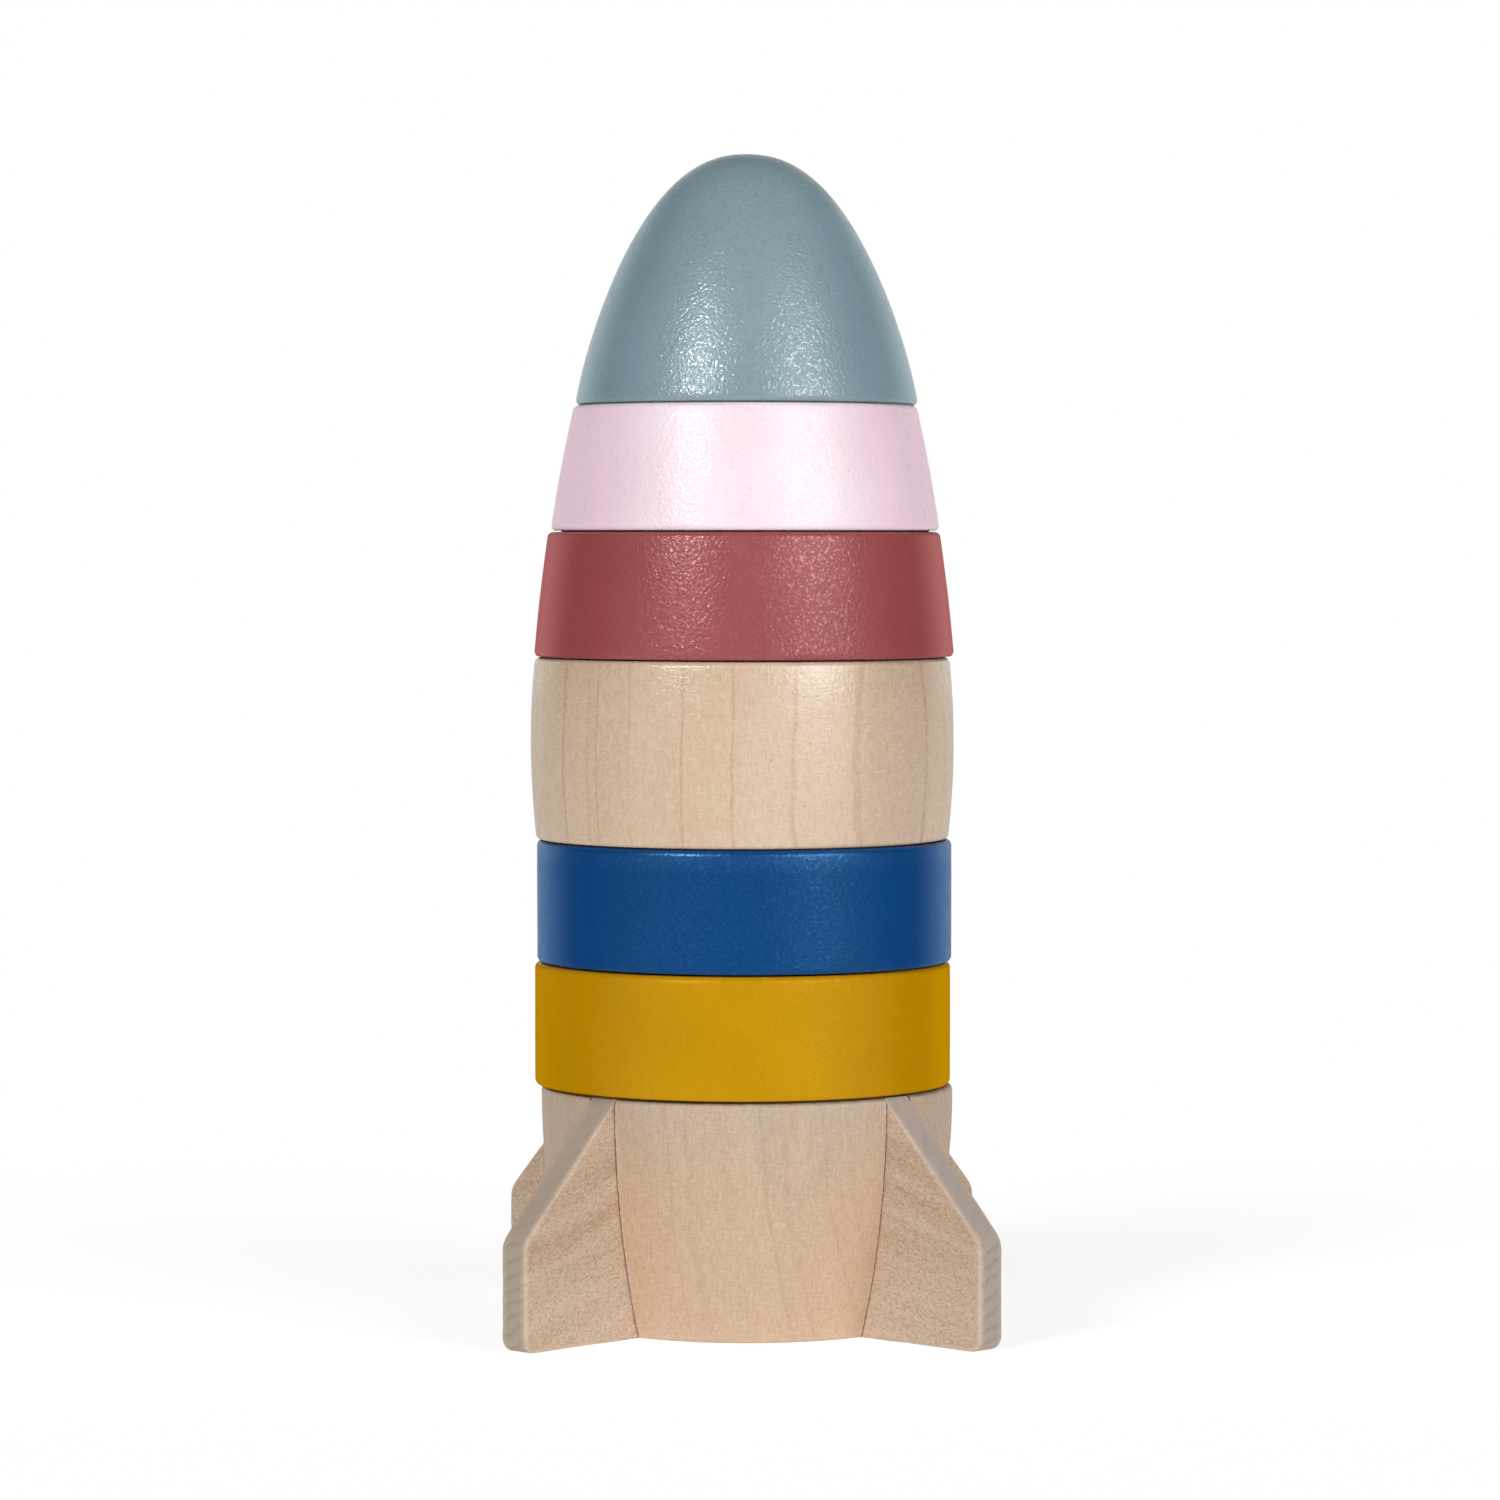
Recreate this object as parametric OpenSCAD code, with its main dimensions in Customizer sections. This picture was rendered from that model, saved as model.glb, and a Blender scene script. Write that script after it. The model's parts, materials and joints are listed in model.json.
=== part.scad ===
// Wooden rocket stacking toy: a finned base with a centre rod, five loose
// rings and a nose cone that lift off the rod one after another.
// Millimetres. +Z is up, the origin is the centre of the base's underside,
// and the front of the toy faces -Y, between two of its four fins.

/* [Base] */
// Height of the turned base block
base_h = 45.8; // [42:0.1:50]
// Radius of the base at its top rim
base_top_r = 39.7; // [39:0.1:40.5]
// Radius of the base at its underside
base_foot_r = 33.3; // [31:0.1:36]
// How far the base's side bows out past a straight taper
base_bow = 1.6; // [0.8:0.1:2]

/* [Fins] */
// Thickness of one fin board
fin_t = 6.4; // [5:0.1:8]
// Distance from the toy's axis to a fin's outer edge
fin_reach = 62.8; // [58:0.1:68]
// Height of the corner where a fin's upright edge meets its slope
fin_corner_z = 20.6; // [16:0.1:26]
// Radius where the slope leaves the top of the base
fin_top_r = 38.8; // [37:0.1:39]
// Distance from the axis to the floor of a fin's slot
slot_floor_r = 24; // [20:0.5:27]
// Gap between a fin and each wall of its slot
slot_gap = 0.1; // [0.05:0.01:0.2]
// Rounding of a fin's lower outer corner
fin_toe_r = 2.8; // [1:0.1:4]
// Rounding of the corner between a fin's upright edge and its slope
fin_knee_r = 4; // [1:0.1:6]

/* [Rod] */
// Diameter of the centre rod
rod_d = 16; // [12:0.5:18]
// How far the rod reaches into the nose cone's blind hole
rod_into_nose = 21.95; // [12:0.05:21.95]
// Thickness of wood left under the rod's blind hole
rod_floor_z = 12; // [8:0.5:18]
// Clearance between the rod and a ring's bore, all round
bore_play = 1; // [0.7:0.05:1.3]

/* [Rings] */
// Height of the yellow ring, the lowest one
yellow_h = 23.7; // [22:0.1:26]
// Radius of the yellow ring
yellow_r = 40.1; // [39.5:0.1:41]
// Height of the blue ring
blue_h = 23.6; // [22:0.1:26]
// Radius of the blue ring
blue_r = 40; // [39.5:0.1:41]
// Height of the unpainted barrel ring
natural_h = 35.1; // [32:0.1:38]
// Height of the red ring
red_h = 24.15; // [22:0.05:26]
// Height of the pink ring
pink_h = 24.2; // [22:0.1:26]
// Rounding of the rings' outer edges, the base's rim and the nose's foot
edge_r = 1.2; // [0.6:0.1:1.6]

/* [Nose] */
// Height of the nose cone
nose_h = 48.3; // [46:0.1:52]
// Radius of the nose cone's rounded tip
nose_tip_r = 19.9; // [18:0.1:21]
// Radius of the nose cone's foot
nose_foot_r = 32.7; // [32:0.1:34]
// Depth of the blind hole in the nose cone
nose_hole_h = 26; // [22.5:0.5:30]

/* [Hidden] */

$fn = 128;
// Facets of the large circles that the bowed sides are cut from.
side_fn = 720;
// How far a cutting shape runs past the face it cuts.
past = 1;
// Outward shift of an edge circle, so that it crosses the side circle
// and leaves no step.
edge_shift = 0.003;

// Heights of the joints between the stacked pieces.
z_yellow = base_h;
z_blue = z_yellow + yellow_h;
z_natural = z_blue + blue_h;
z_red = z_natural + natural_h;
z_pink = z_red + red_h;
z_nose = z_pink + pink_h;

// Radii of the bowed rings at their lower and upper ends, before rounding,
// and how far their sides bow out.
natural_foot_r = 39.7;
natural_head_r = 39.95;
natural_bow = 0.98;
red_foot_r = 40.5;
red_head_r = 37.7;
red_bow = 0.2;
pink_foot_r = 37.5;
pink_head_r = 33;
pink_bow = 0.24;

base_foot_edge_r = 0.8;
slot_w = fin_t + 2 * slot_gap;

rod_r = rod_d / 2;
rod_h = z_nose + rod_into_nose - rod_floor_z;
rod_fit = 0.05; // gap round the rod in the base's blind hole
rod_chamfer = 0.8; // at the rod's foot
rod_top_edge_r = 3;

bore_r = rod_r + bore_play;
bore_chamfer = 0.6;
// Bore radius where a cutter, widening at 45 degrees, ends past the face.
mouth_r = bore_r + bore_chamfer + past;

// Depth of the nose's flank circle centre below the nose's underside.
nose_drop = 10.4;

paint_yellow = [0.80, 0.58, 0.06];
paint_blue = [0.09, 0.29, 0.50];
paint_red = [0.64, 0.35, 0.36];
paint_pink = [0.97, 0.90, 0.94];
paint_grey = [0.54, 0.63, 0.66];
wood_light = [0.85, 0.75, 0.65];
wood_base = [0.81, 0.69, 0.60];
wood_fin = [0.77, 0.66, 0.57];
wood_rod = [0.86, 0.74, 0.58];

// ---- Half sections of turned pieces: X is radius, Y is height ----

// Circle of the bowed side through (foot_r, 0) and (head_r, h), as
// [[centre x, centre y], radius].
function bow_circle(h, foot_r, head_r, bow) =
    let(
        taper = head_r - foot_r,
        chord = norm([taper, h]),
        radius = (chord * chord / 4 + bow * bow) / (2 * bow),
        middle = [(foot_r + head_r) / 2, h / 2],
        // Unit vector from the chord's middle towards the circle's centre.
        inward = [-h, taper] / chord
    )
    [middle + inward * (radius - bow), radius];

// The sliver to cut away so that a side circle turns into an end face with
// an edge of radius r. edge_y is the height of the edge circle's centre, and
// clear_y is a height just past the end face.
module edge_cut(side, r, edge_y, clear_y) {
    side_centre = side[0];
    inner_r = side[1] - r;
    rise = edge_y - side_centre[1];
    centre = [side_centre[0] + sqrt(pow(inner_r, 2) - pow(rise, 2)) + edge_shift, edge_y];
    // Point where the edge circle touches the side.
    touch = side_centre + (centre - side_centre) * (side[1] / inner_r);
    clear_x = centre[0] + 3 * r + 2;
    difference() {
        polygon([
            centre, [centre[0], clear_y], [clear_x, clear_y],
            [clear_x, touch[1]], touch
        ]);
        translate(centre) circle(r = r);
    }
}

// Piece with a bowed side.
module bowed_section(h, foot_r, head_r, bow, foot_edge_r = edge_r) {
    side = bow_circle(h, foot_r, head_r, bow);
    difference() {
        intersection() {
            square([max(foot_r, head_r) + 5, h]);
            translate(side[0]) circle(r = side[1], $fn = side_fn);
        }
        edge_cut(side, foot_edge_r, foot_edge_r, -past);
        edge_cut(side, edge_r, h - edge_r, h + past);
    }
}

// Straight-sided piece with rounded edges.
module plain_section(h, r) {
    union() {
        square([r - edge_r, h]);
        translate([0, edge_r]) square([r, h - 2 * edge_r]);
        translate([r - edge_r, edge_r]) circle(r = edge_r);
        translate([r - edge_r, h - edge_r]) circle(r = edge_r);
    }
}

// A ring's bore, with a small chamfer at each mouth.
module bore_section(h) {
    polygon([
        [-past, -past], [mouth_r, -past], [bore_r, bore_chamfer],
        [bore_r, h - bore_chamfer], [mouth_r, h + past], [-past, h + past]
    ]);
}

// Ring standing at height z, turned from the half section given as a child.
module turned_ring(z, h) {
    translate([0, 0, z])
        rotate_extrude()
            difference() {
                children();
                bore_section(h);
            }
}

// ---- Base ----

module base_body() {
    color(wood_base)
        difference() {
            rotate_extrude()
                bowed_section(base_h, base_foot_r, base_top_r, base_bow, base_foot_edge_r);
            // Blind hole that the rod is glued into.
            translate([0, 0, rod_floor_z])
                cylinder(h = base_h, r = rod_r + rod_fit);
            // Four slots, open at the top and the underside.
            for (turn = [45:90:315])
                rotate([0, 0, turn])
                    translate([slot_floor_r, -slot_w / 2, -past])
                        cube([base_top_r, slot_w, base_h + 2 * past]);
        }
}

// ---- Fins ----

// Side view of a fin. X is the distance from the toy's axis, Y is height.
// Its straight inner edge stands on the slot's floor, its top is level with
// the base, and it slopes down from the base's rim to the knee.
module fin_side() {
    slope = atan2(base_h - fin_corner_z, fin_reach - fin_top_r);
    // Distance from the sharp corner to each end of the knee's rounding.
    setback = fin_knee_r * tan((90 - slope) / 2);
    knee = [fin_reach - fin_knee_r, fin_corner_z - setback];
    knee_top = [
        fin_reach - setback * cos(slope), fin_corner_z + setback * sin(slope)
    ];
    // Outermost corner of the knee's cutter.
    knee_clear = [fin_reach + 2, fin_corner_z + 3];
    toe_x = fin_reach - fin_toe_r;
    difference() {
        polygon([
            [slot_floor_r, 0], [fin_reach, 0], [fin_reach, fin_corner_z],
            [fin_top_r, base_h], [slot_floor_r, base_h]
        ]);
        // Rounded toe.
        difference() {
            polygon([
                [toe_x, -past], [fin_reach + past, -past],
                [fin_reach + past, fin_toe_r], [toe_x, fin_toe_r]
            ]);
            translate([toe_x, fin_toe_r]) circle(r = fin_toe_r);
        }
        // Rounded knee.
        difference() {
            polygon([
                knee, [fin_reach, knee[1]], [knee_clear[0], knee[1]],
                knee_clear, knee_top
            ]);
            translate(knee) circle(r = fin_knee_r);
        }
    }
}

// One fin board, turned to its place. turn is counted from +X.
module fin(turn) {
    color(wood_fin)
        rotate([0, 0, turn])
            translate([0, fin_t / 2, 0])
                rotate([90, 0, 0])
                    linear_extrude(height = fin_t)
                        fin_side();
}

module fin_front_left() { fin(225); }
module fin_front_right() { fin(315); }
module fin_back_right() { fin(45); }
module fin_back_left() { fin(135); }

// ---- Rod ----

// Chamfered at the foot and rounded at the top.
module centre_rod() {
    core_r = rod_r - rod_top_edge_r;
    shoulder = rod_h - rod_top_edge_r;
    color(wood_rod)
        translate([0, 0, rod_floor_z])
            rotate_extrude()
                union() {
                    polygon([
                        [0, 0], [rod_r - rod_chamfer, 0], [rod_r, rod_chamfer],
                        [rod_r, shoulder], [0, shoulder]
                    ]);
                    square([core_r, rod_h]);
                    intersection() {
                        translate([core_r, shoulder]) circle(r = rod_top_edge_r);
                        square([rod_r, rod_h]);
                    }
                }
}

// ---- Rings, from the lowest up ----

module yellow_ring() {
    color(paint_yellow)
        turned_ring(z_yellow, yellow_h)
            plain_section(yellow_h, yellow_r);
}

module blue_ring() {
    color(paint_blue)
        turned_ring(z_blue, blue_h)
            plain_section(blue_h, blue_r);
}

module natural_ring() {
    color(wood_light)
        turned_ring(z_natural, natural_h)
            bowed_section(natural_h, natural_foot_r, natural_head_r, natural_bow);
}

module red_ring() {
    color(paint_red)
        turned_ring(z_red, red_h)
            bowed_section(red_h, red_foot_r, red_head_r, red_bow);
}

module pink_ring() {
    color(paint_pink)
        turned_ring(z_pink, pink_h)
            bowed_section(pink_h, pink_foot_r, pink_head_r, pink_bow);
}

// ---- Nose ----

// The nose's half section is two arcs that run smoothly into each other: a
// flank arc through the foot's corner, and a tip arc centred on the axis.
// The flank circle's centre is at (-offset, -nose_drop). The two circles
// touch, so its radius is the distance between their centres plus the tip's
// radius. rise is the height of the tip's centre above the flank's.
// offset solves
//   (foot + offset)^2 + drop^2 = (sqrt(offset^2 + rise^2) + tip)^2
function flank_offset(rise) =
    let(
        // 2 foot offset + rest = 2 tip sqrt(offset^2 + rise^2), which is
        // squared into a quadratic.
        rest = pow(nose_foot_r, 2) + pow(nose_drop, 2) - pow(rise, 2) - pow(nose_tip_r, 2),
        square_term = 4 * (pow(nose_foot_r, 2) - pow(nose_tip_r, 2)),
        linear_term = 4 * nose_foot_r * rest,
        constant = pow(rest, 2) - 4 * pow(nose_tip_r * rise, 2)
    )
    (-linear_term + sqrt(pow(linear_term, 2) - 4 * square_term * constant))
        / (2 * square_term);

module nose_section() {
    tip_y = nose_h - nose_tip_r;
    rise = tip_y + nose_drop;
    offset_x = flank_offset(rise);
    centre_gap = norm([offset_x, rise]);
    flank = [[-offset_x, -nose_drop], centre_gap + nose_tip_r];
    // Height where the two arcs meet.
    meet = -nose_drop + flank[1] * rise / centre_gap;
    difference() {
        union() {
            intersection() {
                translate(flank[0]) circle(r = flank[1], $fn = side_fn);
                square([nose_foot_r + 5, meet]);
            }
            intersection() {
                translate([0, tip_y]) circle(r = nose_tip_r);
                translate([0, meet - past])
                    square([nose_tip_r + past, nose_h - meet + 2 * past]);
            }
        }
        edge_cut(flank, edge_r, edge_r, -past);
    }
}

module nose_cone() {
    color(paint_grey)
        translate([0, 0, z_nose])
            difference() {
                rotate_extrude() nose_section();
                translate([0, 0, -past]) cylinder(h = nose_hole_h + past, r = bore_r);
                // Chamfered mouth.
                translate([0, 0, -past])
                    cylinder(h = bore_chamfer + past, r1 = mouth_r, r2 = bore_r);
            }
}

base_body();
fin_front_left();
fin_front_right();
fin_back_right();
fin_back_left();
centre_rod();
yellow_ring();
blue_ring();
natural_ring();
red_ring();
pink_ring();
nose_cone();
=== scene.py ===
"""A wooden stacking rocket: a finned base with an upright rod, five rings and a nose cone.

It stands on z = 0 with its axis on Z and its front towards -Y. Shapes are worked out in
millimetres and turned into metres when a mesh is made.
"""
import json
import math
from itertools import product

import bpy
import numpy as np
from mathutils import Matrix, Vector
from mathutils.geometry import tessellate_polygon

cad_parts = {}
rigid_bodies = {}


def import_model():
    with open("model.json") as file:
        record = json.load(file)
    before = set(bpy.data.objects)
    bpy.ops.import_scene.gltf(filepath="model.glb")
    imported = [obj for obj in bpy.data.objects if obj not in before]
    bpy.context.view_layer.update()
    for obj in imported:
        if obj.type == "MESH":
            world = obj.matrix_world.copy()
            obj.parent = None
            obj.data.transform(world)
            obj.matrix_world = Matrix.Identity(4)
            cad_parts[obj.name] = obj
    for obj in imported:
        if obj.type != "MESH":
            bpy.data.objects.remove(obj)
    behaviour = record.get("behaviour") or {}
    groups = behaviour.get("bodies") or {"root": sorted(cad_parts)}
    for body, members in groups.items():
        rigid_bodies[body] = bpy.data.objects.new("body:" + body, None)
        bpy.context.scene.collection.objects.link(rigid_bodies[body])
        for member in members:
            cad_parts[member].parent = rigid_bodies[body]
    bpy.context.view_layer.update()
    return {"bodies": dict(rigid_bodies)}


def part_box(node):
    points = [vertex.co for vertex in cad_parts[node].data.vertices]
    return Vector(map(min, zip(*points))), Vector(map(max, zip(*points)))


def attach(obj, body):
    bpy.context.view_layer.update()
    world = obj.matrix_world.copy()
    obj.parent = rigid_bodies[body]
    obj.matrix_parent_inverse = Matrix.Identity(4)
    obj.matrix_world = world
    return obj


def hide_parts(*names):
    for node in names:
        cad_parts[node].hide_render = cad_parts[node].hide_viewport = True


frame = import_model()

MM = 0.001
scene = bpy.context.scene
scene.view_settings.view_transform = "Standard"
scene.view_settings.look = "None"
scene.view_settings.exposure = 0.0
scene.view_settings.gamma = 1.0


# ---------------------------------------------------------------- sizes, in millimetres
def span(node):
    """Foot and height of a CAD piece, rounded to 0.05 mm."""
    low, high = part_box(node)
    return round(low[2] / MM * 20) / 20, round((high[2] - low[2]) / MM * 20) / 20


SPANS = {node: span(node) for node in (
    "yellow_ring", "blue_ring", "natural_ring", "red_ring", "pink_ring", "nose_cone")}
BASE_H = span("base_body")[1]
ROD_FOOT, ROD_H = span("centre_rod")
ROD_TOP = ROD_FOOT + ROD_H
ROD_R = 8.0
BORE_R = 9.0
BORE_BREAK = 0.55          # chamfer at both ends of a ring's bore
RING_EDGE = 1.2            # radius of a ring's outer edges
SLOT_HALF = 3.3            # half the width of a fin slot
SLOT_FLOOR = 24.0          # distance of the slot floor from the axis
FIN_HALF = 3.2             # half the board's thickness
FIN_OUT = 62.8             # reach of the upright outer edge
FIN_KNEE_Z = 20.6          # height where the edge starts to slope
FIN_TOP_R = 38.8           # reach at the top
DRUM_TOP_EDGE, DRUM_FOOT_EDGE = 1.15, 0.8

# node: radius at foot, radius at top, bow of the side, noise seed, height of the undercut
RINGS = {
    "yellow_ring": (40.1, 40.1, 0.0, 11, 0.40),
    "blue_ring": (40.0, 40.0, 0.0, 12, 0.32),
    "natural_ring": (39.7, 39.95, 0.98, 13, 0.24),
    "red_ring": (40.5, 37.7, 0.2, 14, 0.24),
    "pink_ring": (37.5, 33.0, 0.24, 15, 0.24),
}
# fin: angle round the axis in degrees, noise seed
FINS = {
    "fin_front_left": (225, 21),
    "fin_front_right": (315, 31),
    "fin_back_right": (45, 41),
    "fin_back_left": (135, 51),
}
# Pieces have play on the rod, so each sits a little off centre along X.
PLAY = {"yellow_ring": -0.83, "blue_ring": -0.5, "natural_ring": -0.9,
        "red_ring": -0.57, "pink_ring": -0.33, "nose_cone": -0.05}


# ---------------------------------------------------------------- repeatable noise for the meshes
def lattice_hash(x, y, z, seed):
    n = (x * 374761393 + y * 668265263 + z * 1442695041 + seed * 974634777) & 0xFFFFFFFF
    n = ((n ^ (n >> 13)) * 1274126177) & 0xFFFFFFFF
    n = ((n ^ (n >> 16)) * 2246822519) & 0xFFFFFFFF
    return ((n ^ (n >> 15)) & 0xFFFFFF) / float(0x7FFFFF) - 1.0


def wobble(points, scale, seed):
    """Smooth noise between -1 and 1 at points (N x 3, mm), with features about scale mm wide."""
    scaled = np.asarray(points, float) / scale + seed * 7.31
    cell = np.floor(scaled).astype(np.int64)
    f = scaled - cell
    ease = f * f * f * (f * (f * 6 - 15) + 10)
    weight = (1 - ease, ease)
    out = np.zeros(len(scaled))
    for i, j, k in product((0, 1), repeat=3):
        corner = lattice_hash(cell[:, 0] + i, cell[:, 1] + j, cell[:, 2] + k, seed)
        out += weight[i][:, 0] * weight[j][:, 1] * weight[k][:, 2] * corner
    return out


# ---------------------------------------------------------------- mesh helpers
def make_object(name, verts, faces, sharp_deg=38.0, attributes=None):
    """A smooth-shaded mesh object from points in mm, turned outwards if its volume is negative."""
    mesh = bpy.data.meshes.new(name)
    points = np.asarray(verts, float) * MM
    mesh.from_pydata(points.tolist(), [], [list(f) for f in faces])
    mesh.validate(verbose=False)
    mesh.update()
    mesh.calc_loop_triangles()
    index = np.empty(len(mesh.loop_triangles) * 3, np.int32)
    mesh.loop_triangles.foreach_get("vertices", index)
    t = points[index.reshape(-1, 3)]
    if np.einsum("ij,ij->i", t[:, 0], np.cross(t[:, 1], t[:, 2])).sum() < 0:
        mesh.flip_normals()
    mesh.polygons.foreach_set("use_smooth", [True] * len(mesh.polygons))
    mesh.set_sharp_from_angle(angle=math.radians(sharp_deg))
    for key, values in (attributes or {}).items():
        attribute = mesh.attributes.new(key, "FLOAT", "POINT")
        attribute.data.foreach_set("value", np.asarray(values, np.float32))
    mesh.update()
    obj = bpy.data.objects.new(name, mesh)
    scene.collection.objects.link(obj)
    return obj


def spread(start, end, step):
    """Evenly spaced points from start to end, end left out."""
    start, end = np.asarray(start, float), np.asarray(end, float)
    n = max(1, int(math.ceil(np.linalg.norm(end - start) / step)))
    return [tuple(start + (end - start) * k / n) for k in range(n)]


def arc(centre_r, centre_z, radius, start, end, n):
    """Arc points between two angles in degrees, the last one left out."""
    angles = [math.radians(start + (end - start) * k / n) for k in range(n)]
    return [(centre_r + radius * math.cos(a), centre_z + radius * math.sin(a)) for a in angles]


def bend(centre_r, centre_z, radius, end, count):
    """Arc points from the outside upwards to the angle end in radians, both ends included."""
    return [(centre_r + radius * math.cos(a), centre_z + radius * math.sin(a))
            for a in np.linspace(0, end, count)]


def foot_round(outer, width, height, count):
    """A rounded lower edge from z = 0 out to the side, the last point left out."""
    return [(outer - width + width * math.sin(a), height - height * math.cos(a))
            for a in np.linspace(0, math.pi / 2, count)[:-1]]


def rotate_xy(x, y, degrees):
    c, s = math.cos(math.radians(degrees)), math.sin(math.radians(degrees))
    return x * c - y * s, x * s + y * c


def band(low, high):
    """Quads between two closed loops of point numbers."""
    n = len(low)
    return [(low[k], low[(k + 1) % n], high[(k + 1) % n], high[k]) for k in range(n)]


def lathe(name, profile, foot, segments, seed, wave=0.05):
    """Turns a closed (r, z) profile, raised by foot, round Z. Points at r = 0 are poles.

    Hand-sanded waviness moves the outside by up to wave mm, and nothing within 12 mm of
    the axis.
    """
    angles = np.linspace(0, 2 * math.pi, segments, endpoint=False)
    verts, rows = [], []
    for r, z in profile:
        start = len(verts)
        if r < 1e-6:
            rows.append([start])
            verts.append((0.0, 0.0, z + foot))
        else:
            verts.extend(zip(r * np.cos(angles), r * np.sin(angles),
                             np.full(segments, z + foot)))
            rows.append(list(range(start, start + segments)))
    faces = []
    for a, b in zip(rows, rows[1:] + rows[:1]):
        if len(a) == 1 and len(b) == 1:
            continue
        if len(a) == 1:
            faces += [(a[0], b[(k + 1) % segments], b[k]) for k in range(segments)]
        elif len(b) == 1:
            faces += [(a[k], a[(k + 1) % segments], b[0]) for k in range(segments)]
        else:
            faces += band(a, b)
    v = np.array(verts, float)
    radius = np.hypot(v[:, 0], v[:, 1])
    share = np.clip((radius - 12.0) / 8.0, 0, 1)
    push = wave * (0.7 * wobble(v, 17.0, seed) + 0.3 * wobble(v, 6.0, seed + 1)) * share
    v[:, :2] += v[:, :2] / np.maximum(radius, 1e-6)[:, None] * push[:, None]
    return make_object(name, v, faces)


# ---------------------------------------------------------------- rings, nose cone and rod
def ring_profile(h, r_low, r_high, bow, under):
    """A bored ring: inside up, over the top, round the edge, down the side and back under."""
    def side(t):
        return r_low + (r_high - r_low) * t + bow * 4 * t * (1 - t)

    edge = RING_EDGE
    chamfer_r, face_r = BORE_R + BORE_BREAK, BORE_R + 1.6
    # angles, in degrees, where the edge rounds meet the side
    probe = 0.06
    top_angle = -math.degrees(math.atan2(side(1.0) - side(1 - probe), probe * h))
    foot_angle = -math.degrees(math.atan2(side(probe) - side(0.0), probe * h))
    points = spread((chamfer_r, 0.0), (BORE_R, BORE_BREAK), 0.4)
    points += spread((BORE_R, BORE_BREAK), (BORE_R, h - BORE_BREAK), 1.6)
    points += spread((BORE_R, h - BORE_BREAK), (chamfer_r, h), 0.4)
    # top face and upper round
    side_top = h - edge + edge * math.sin(math.radians(top_angle))
    top_r = side(side_top / h) - edge * math.cos(math.radians(top_angle))
    points += spread((chamfer_r, h), (face_r, h), 0.5)
    points += spread((face_r, h), (top_r, h), 2.6)
    points += arc(top_r, h - edge, edge, 90, top_angle, 9)
    # side, going down
    side_foot = edge + edge * math.sin(math.radians(foot_angle))
    n = max(12, int((side_top - side_foot) / 0.9))
    for k in range(n):
        z = side_top + (side_foot - side_top) * k / n
        points.append((side(z / h), z))
    # lower round, cut short by a shallow undercut, then the underside
    foot_r = side(side_foot / h) - edge * math.cos(math.radians(foot_angle))
    points += [(r, max(z, under)) for r, z in arc(foot_r, edge, edge, foot_angle, -74, 9)]
    points += spread((foot_r, under), (foot_r - 0.55, under - 0.02), 0.4)
    points += spread((foot_r - 0.55, under - 0.02), (foot_r - 0.8, 0.0), 0.3)
    points += spread((foot_r - 0.8, 0.0), (face_r, 0.0), 2.6)
    points += spread((face_r, 0.0), (chamfer_r, 0.0), 0.5)
    return points


def build_ring(node):
    foot, height = SPANS[node]
    r_low, r_high, bow, seed, under = RINGS[node]
    profile = ring_profile(height, r_low, r_high, bow, under)
    return lathe(node + "_turned", profile, foot, 360, seed)


NOSE_BORE_H = 26.0


def build_nose():
    """A blunt egg, almost upright at the foot, with a round tip and a blind bore below."""
    foot, h = SPANS["nose_cone"]
    foot_r, edge_w, edge_h = 32.985, 1.0, 1.15
    bore_round, bore_break = 0.5, 0.6

    def radius(z):
        return foot_r * max(0.0, 1 - (z / h) ** 1.2167) ** (1 / 2.2596)

    points = [(0.0, NOSE_BORE_H)]
    points += spread((1.5, NOSE_BORE_H), (BORE_R - bore_round, NOSE_BORE_H), 2.0)
    points += arc(BORE_R - bore_round, NOSE_BORE_H - bore_round, bore_round, 90, 0, 3)
    points += spread((BORE_R, NOSE_BORE_H - bore_round), (BORE_R, bore_break), 1.8)
    points += spread((BORE_R, bore_break), (BORE_R + bore_break, 0.0), 0.4)
    points += spread((BORE_R + bore_break, 0.0), (BORE_R + 1.6, 0.0), 0.5)
    points += spread((BORE_R + 1.6, 0.0), (radius(edge_h) - edge_w, 0.0), 2.4)
    points += foot_round(radius(edge_h), edge_w, edge_h, 9)
    # even steps along the flank, from a dense sampling that is closest at the tip
    dense_z = np.concatenate([np.linspace(edge_h, h * 0.9, 400),
                              h - (h * 0.1) * (1 - np.linspace(0, 1, 400)) ** 2])
    dense_r = np.array([radius(z) for z in dense_z])
    steps = np.hypot(np.diff(dense_z), np.diff(dense_r))
    length = np.concatenate([[0], np.cumsum(steps)])
    want = np.linspace(0, length[-1], int(length[-1] / 0.85))[:-1]
    points += zip(np.interp(want, length, dense_r), np.interp(want, length, dense_z))
    points.append((0.0, h))
    return lathe("nose_cone_turned", points, foot, 360, 61)


def build_rod():
    top_edge, foot_break = 3.0, 0.8
    points = [(0.0, ROD_FOOT)]
    points += spread((1.5, ROD_FOOT), (ROD_R - foot_break, ROD_FOOT), 2.0)
    points += spread((ROD_R - foot_break, ROD_FOOT), (ROD_R, ROD_FOOT + foot_break), 0.5)
    points += spread((ROD_R, ROD_FOOT + foot_break), (ROD_R, ROD_TOP - top_edge), 2.2)
    points += bend(ROD_R - top_edge, ROD_TOP - top_edge, top_edge, math.pi / 2, 12)
    points += spread((ROD_R - top_edge - 0.8, ROD_TOP), (0.8, ROD_TOP), 1.2)
    points.append((0.0, ROD_TOP))
    return lathe("centre_rod_turned", points, 0.0, 128, 91, wave=0.0)


# ---------------------------------------------------------------- base drum
def drum_radius(z):
    return 39.7 - 6.4 * max(0.0, 1 - z / BASE_H) ** 2.06


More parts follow.
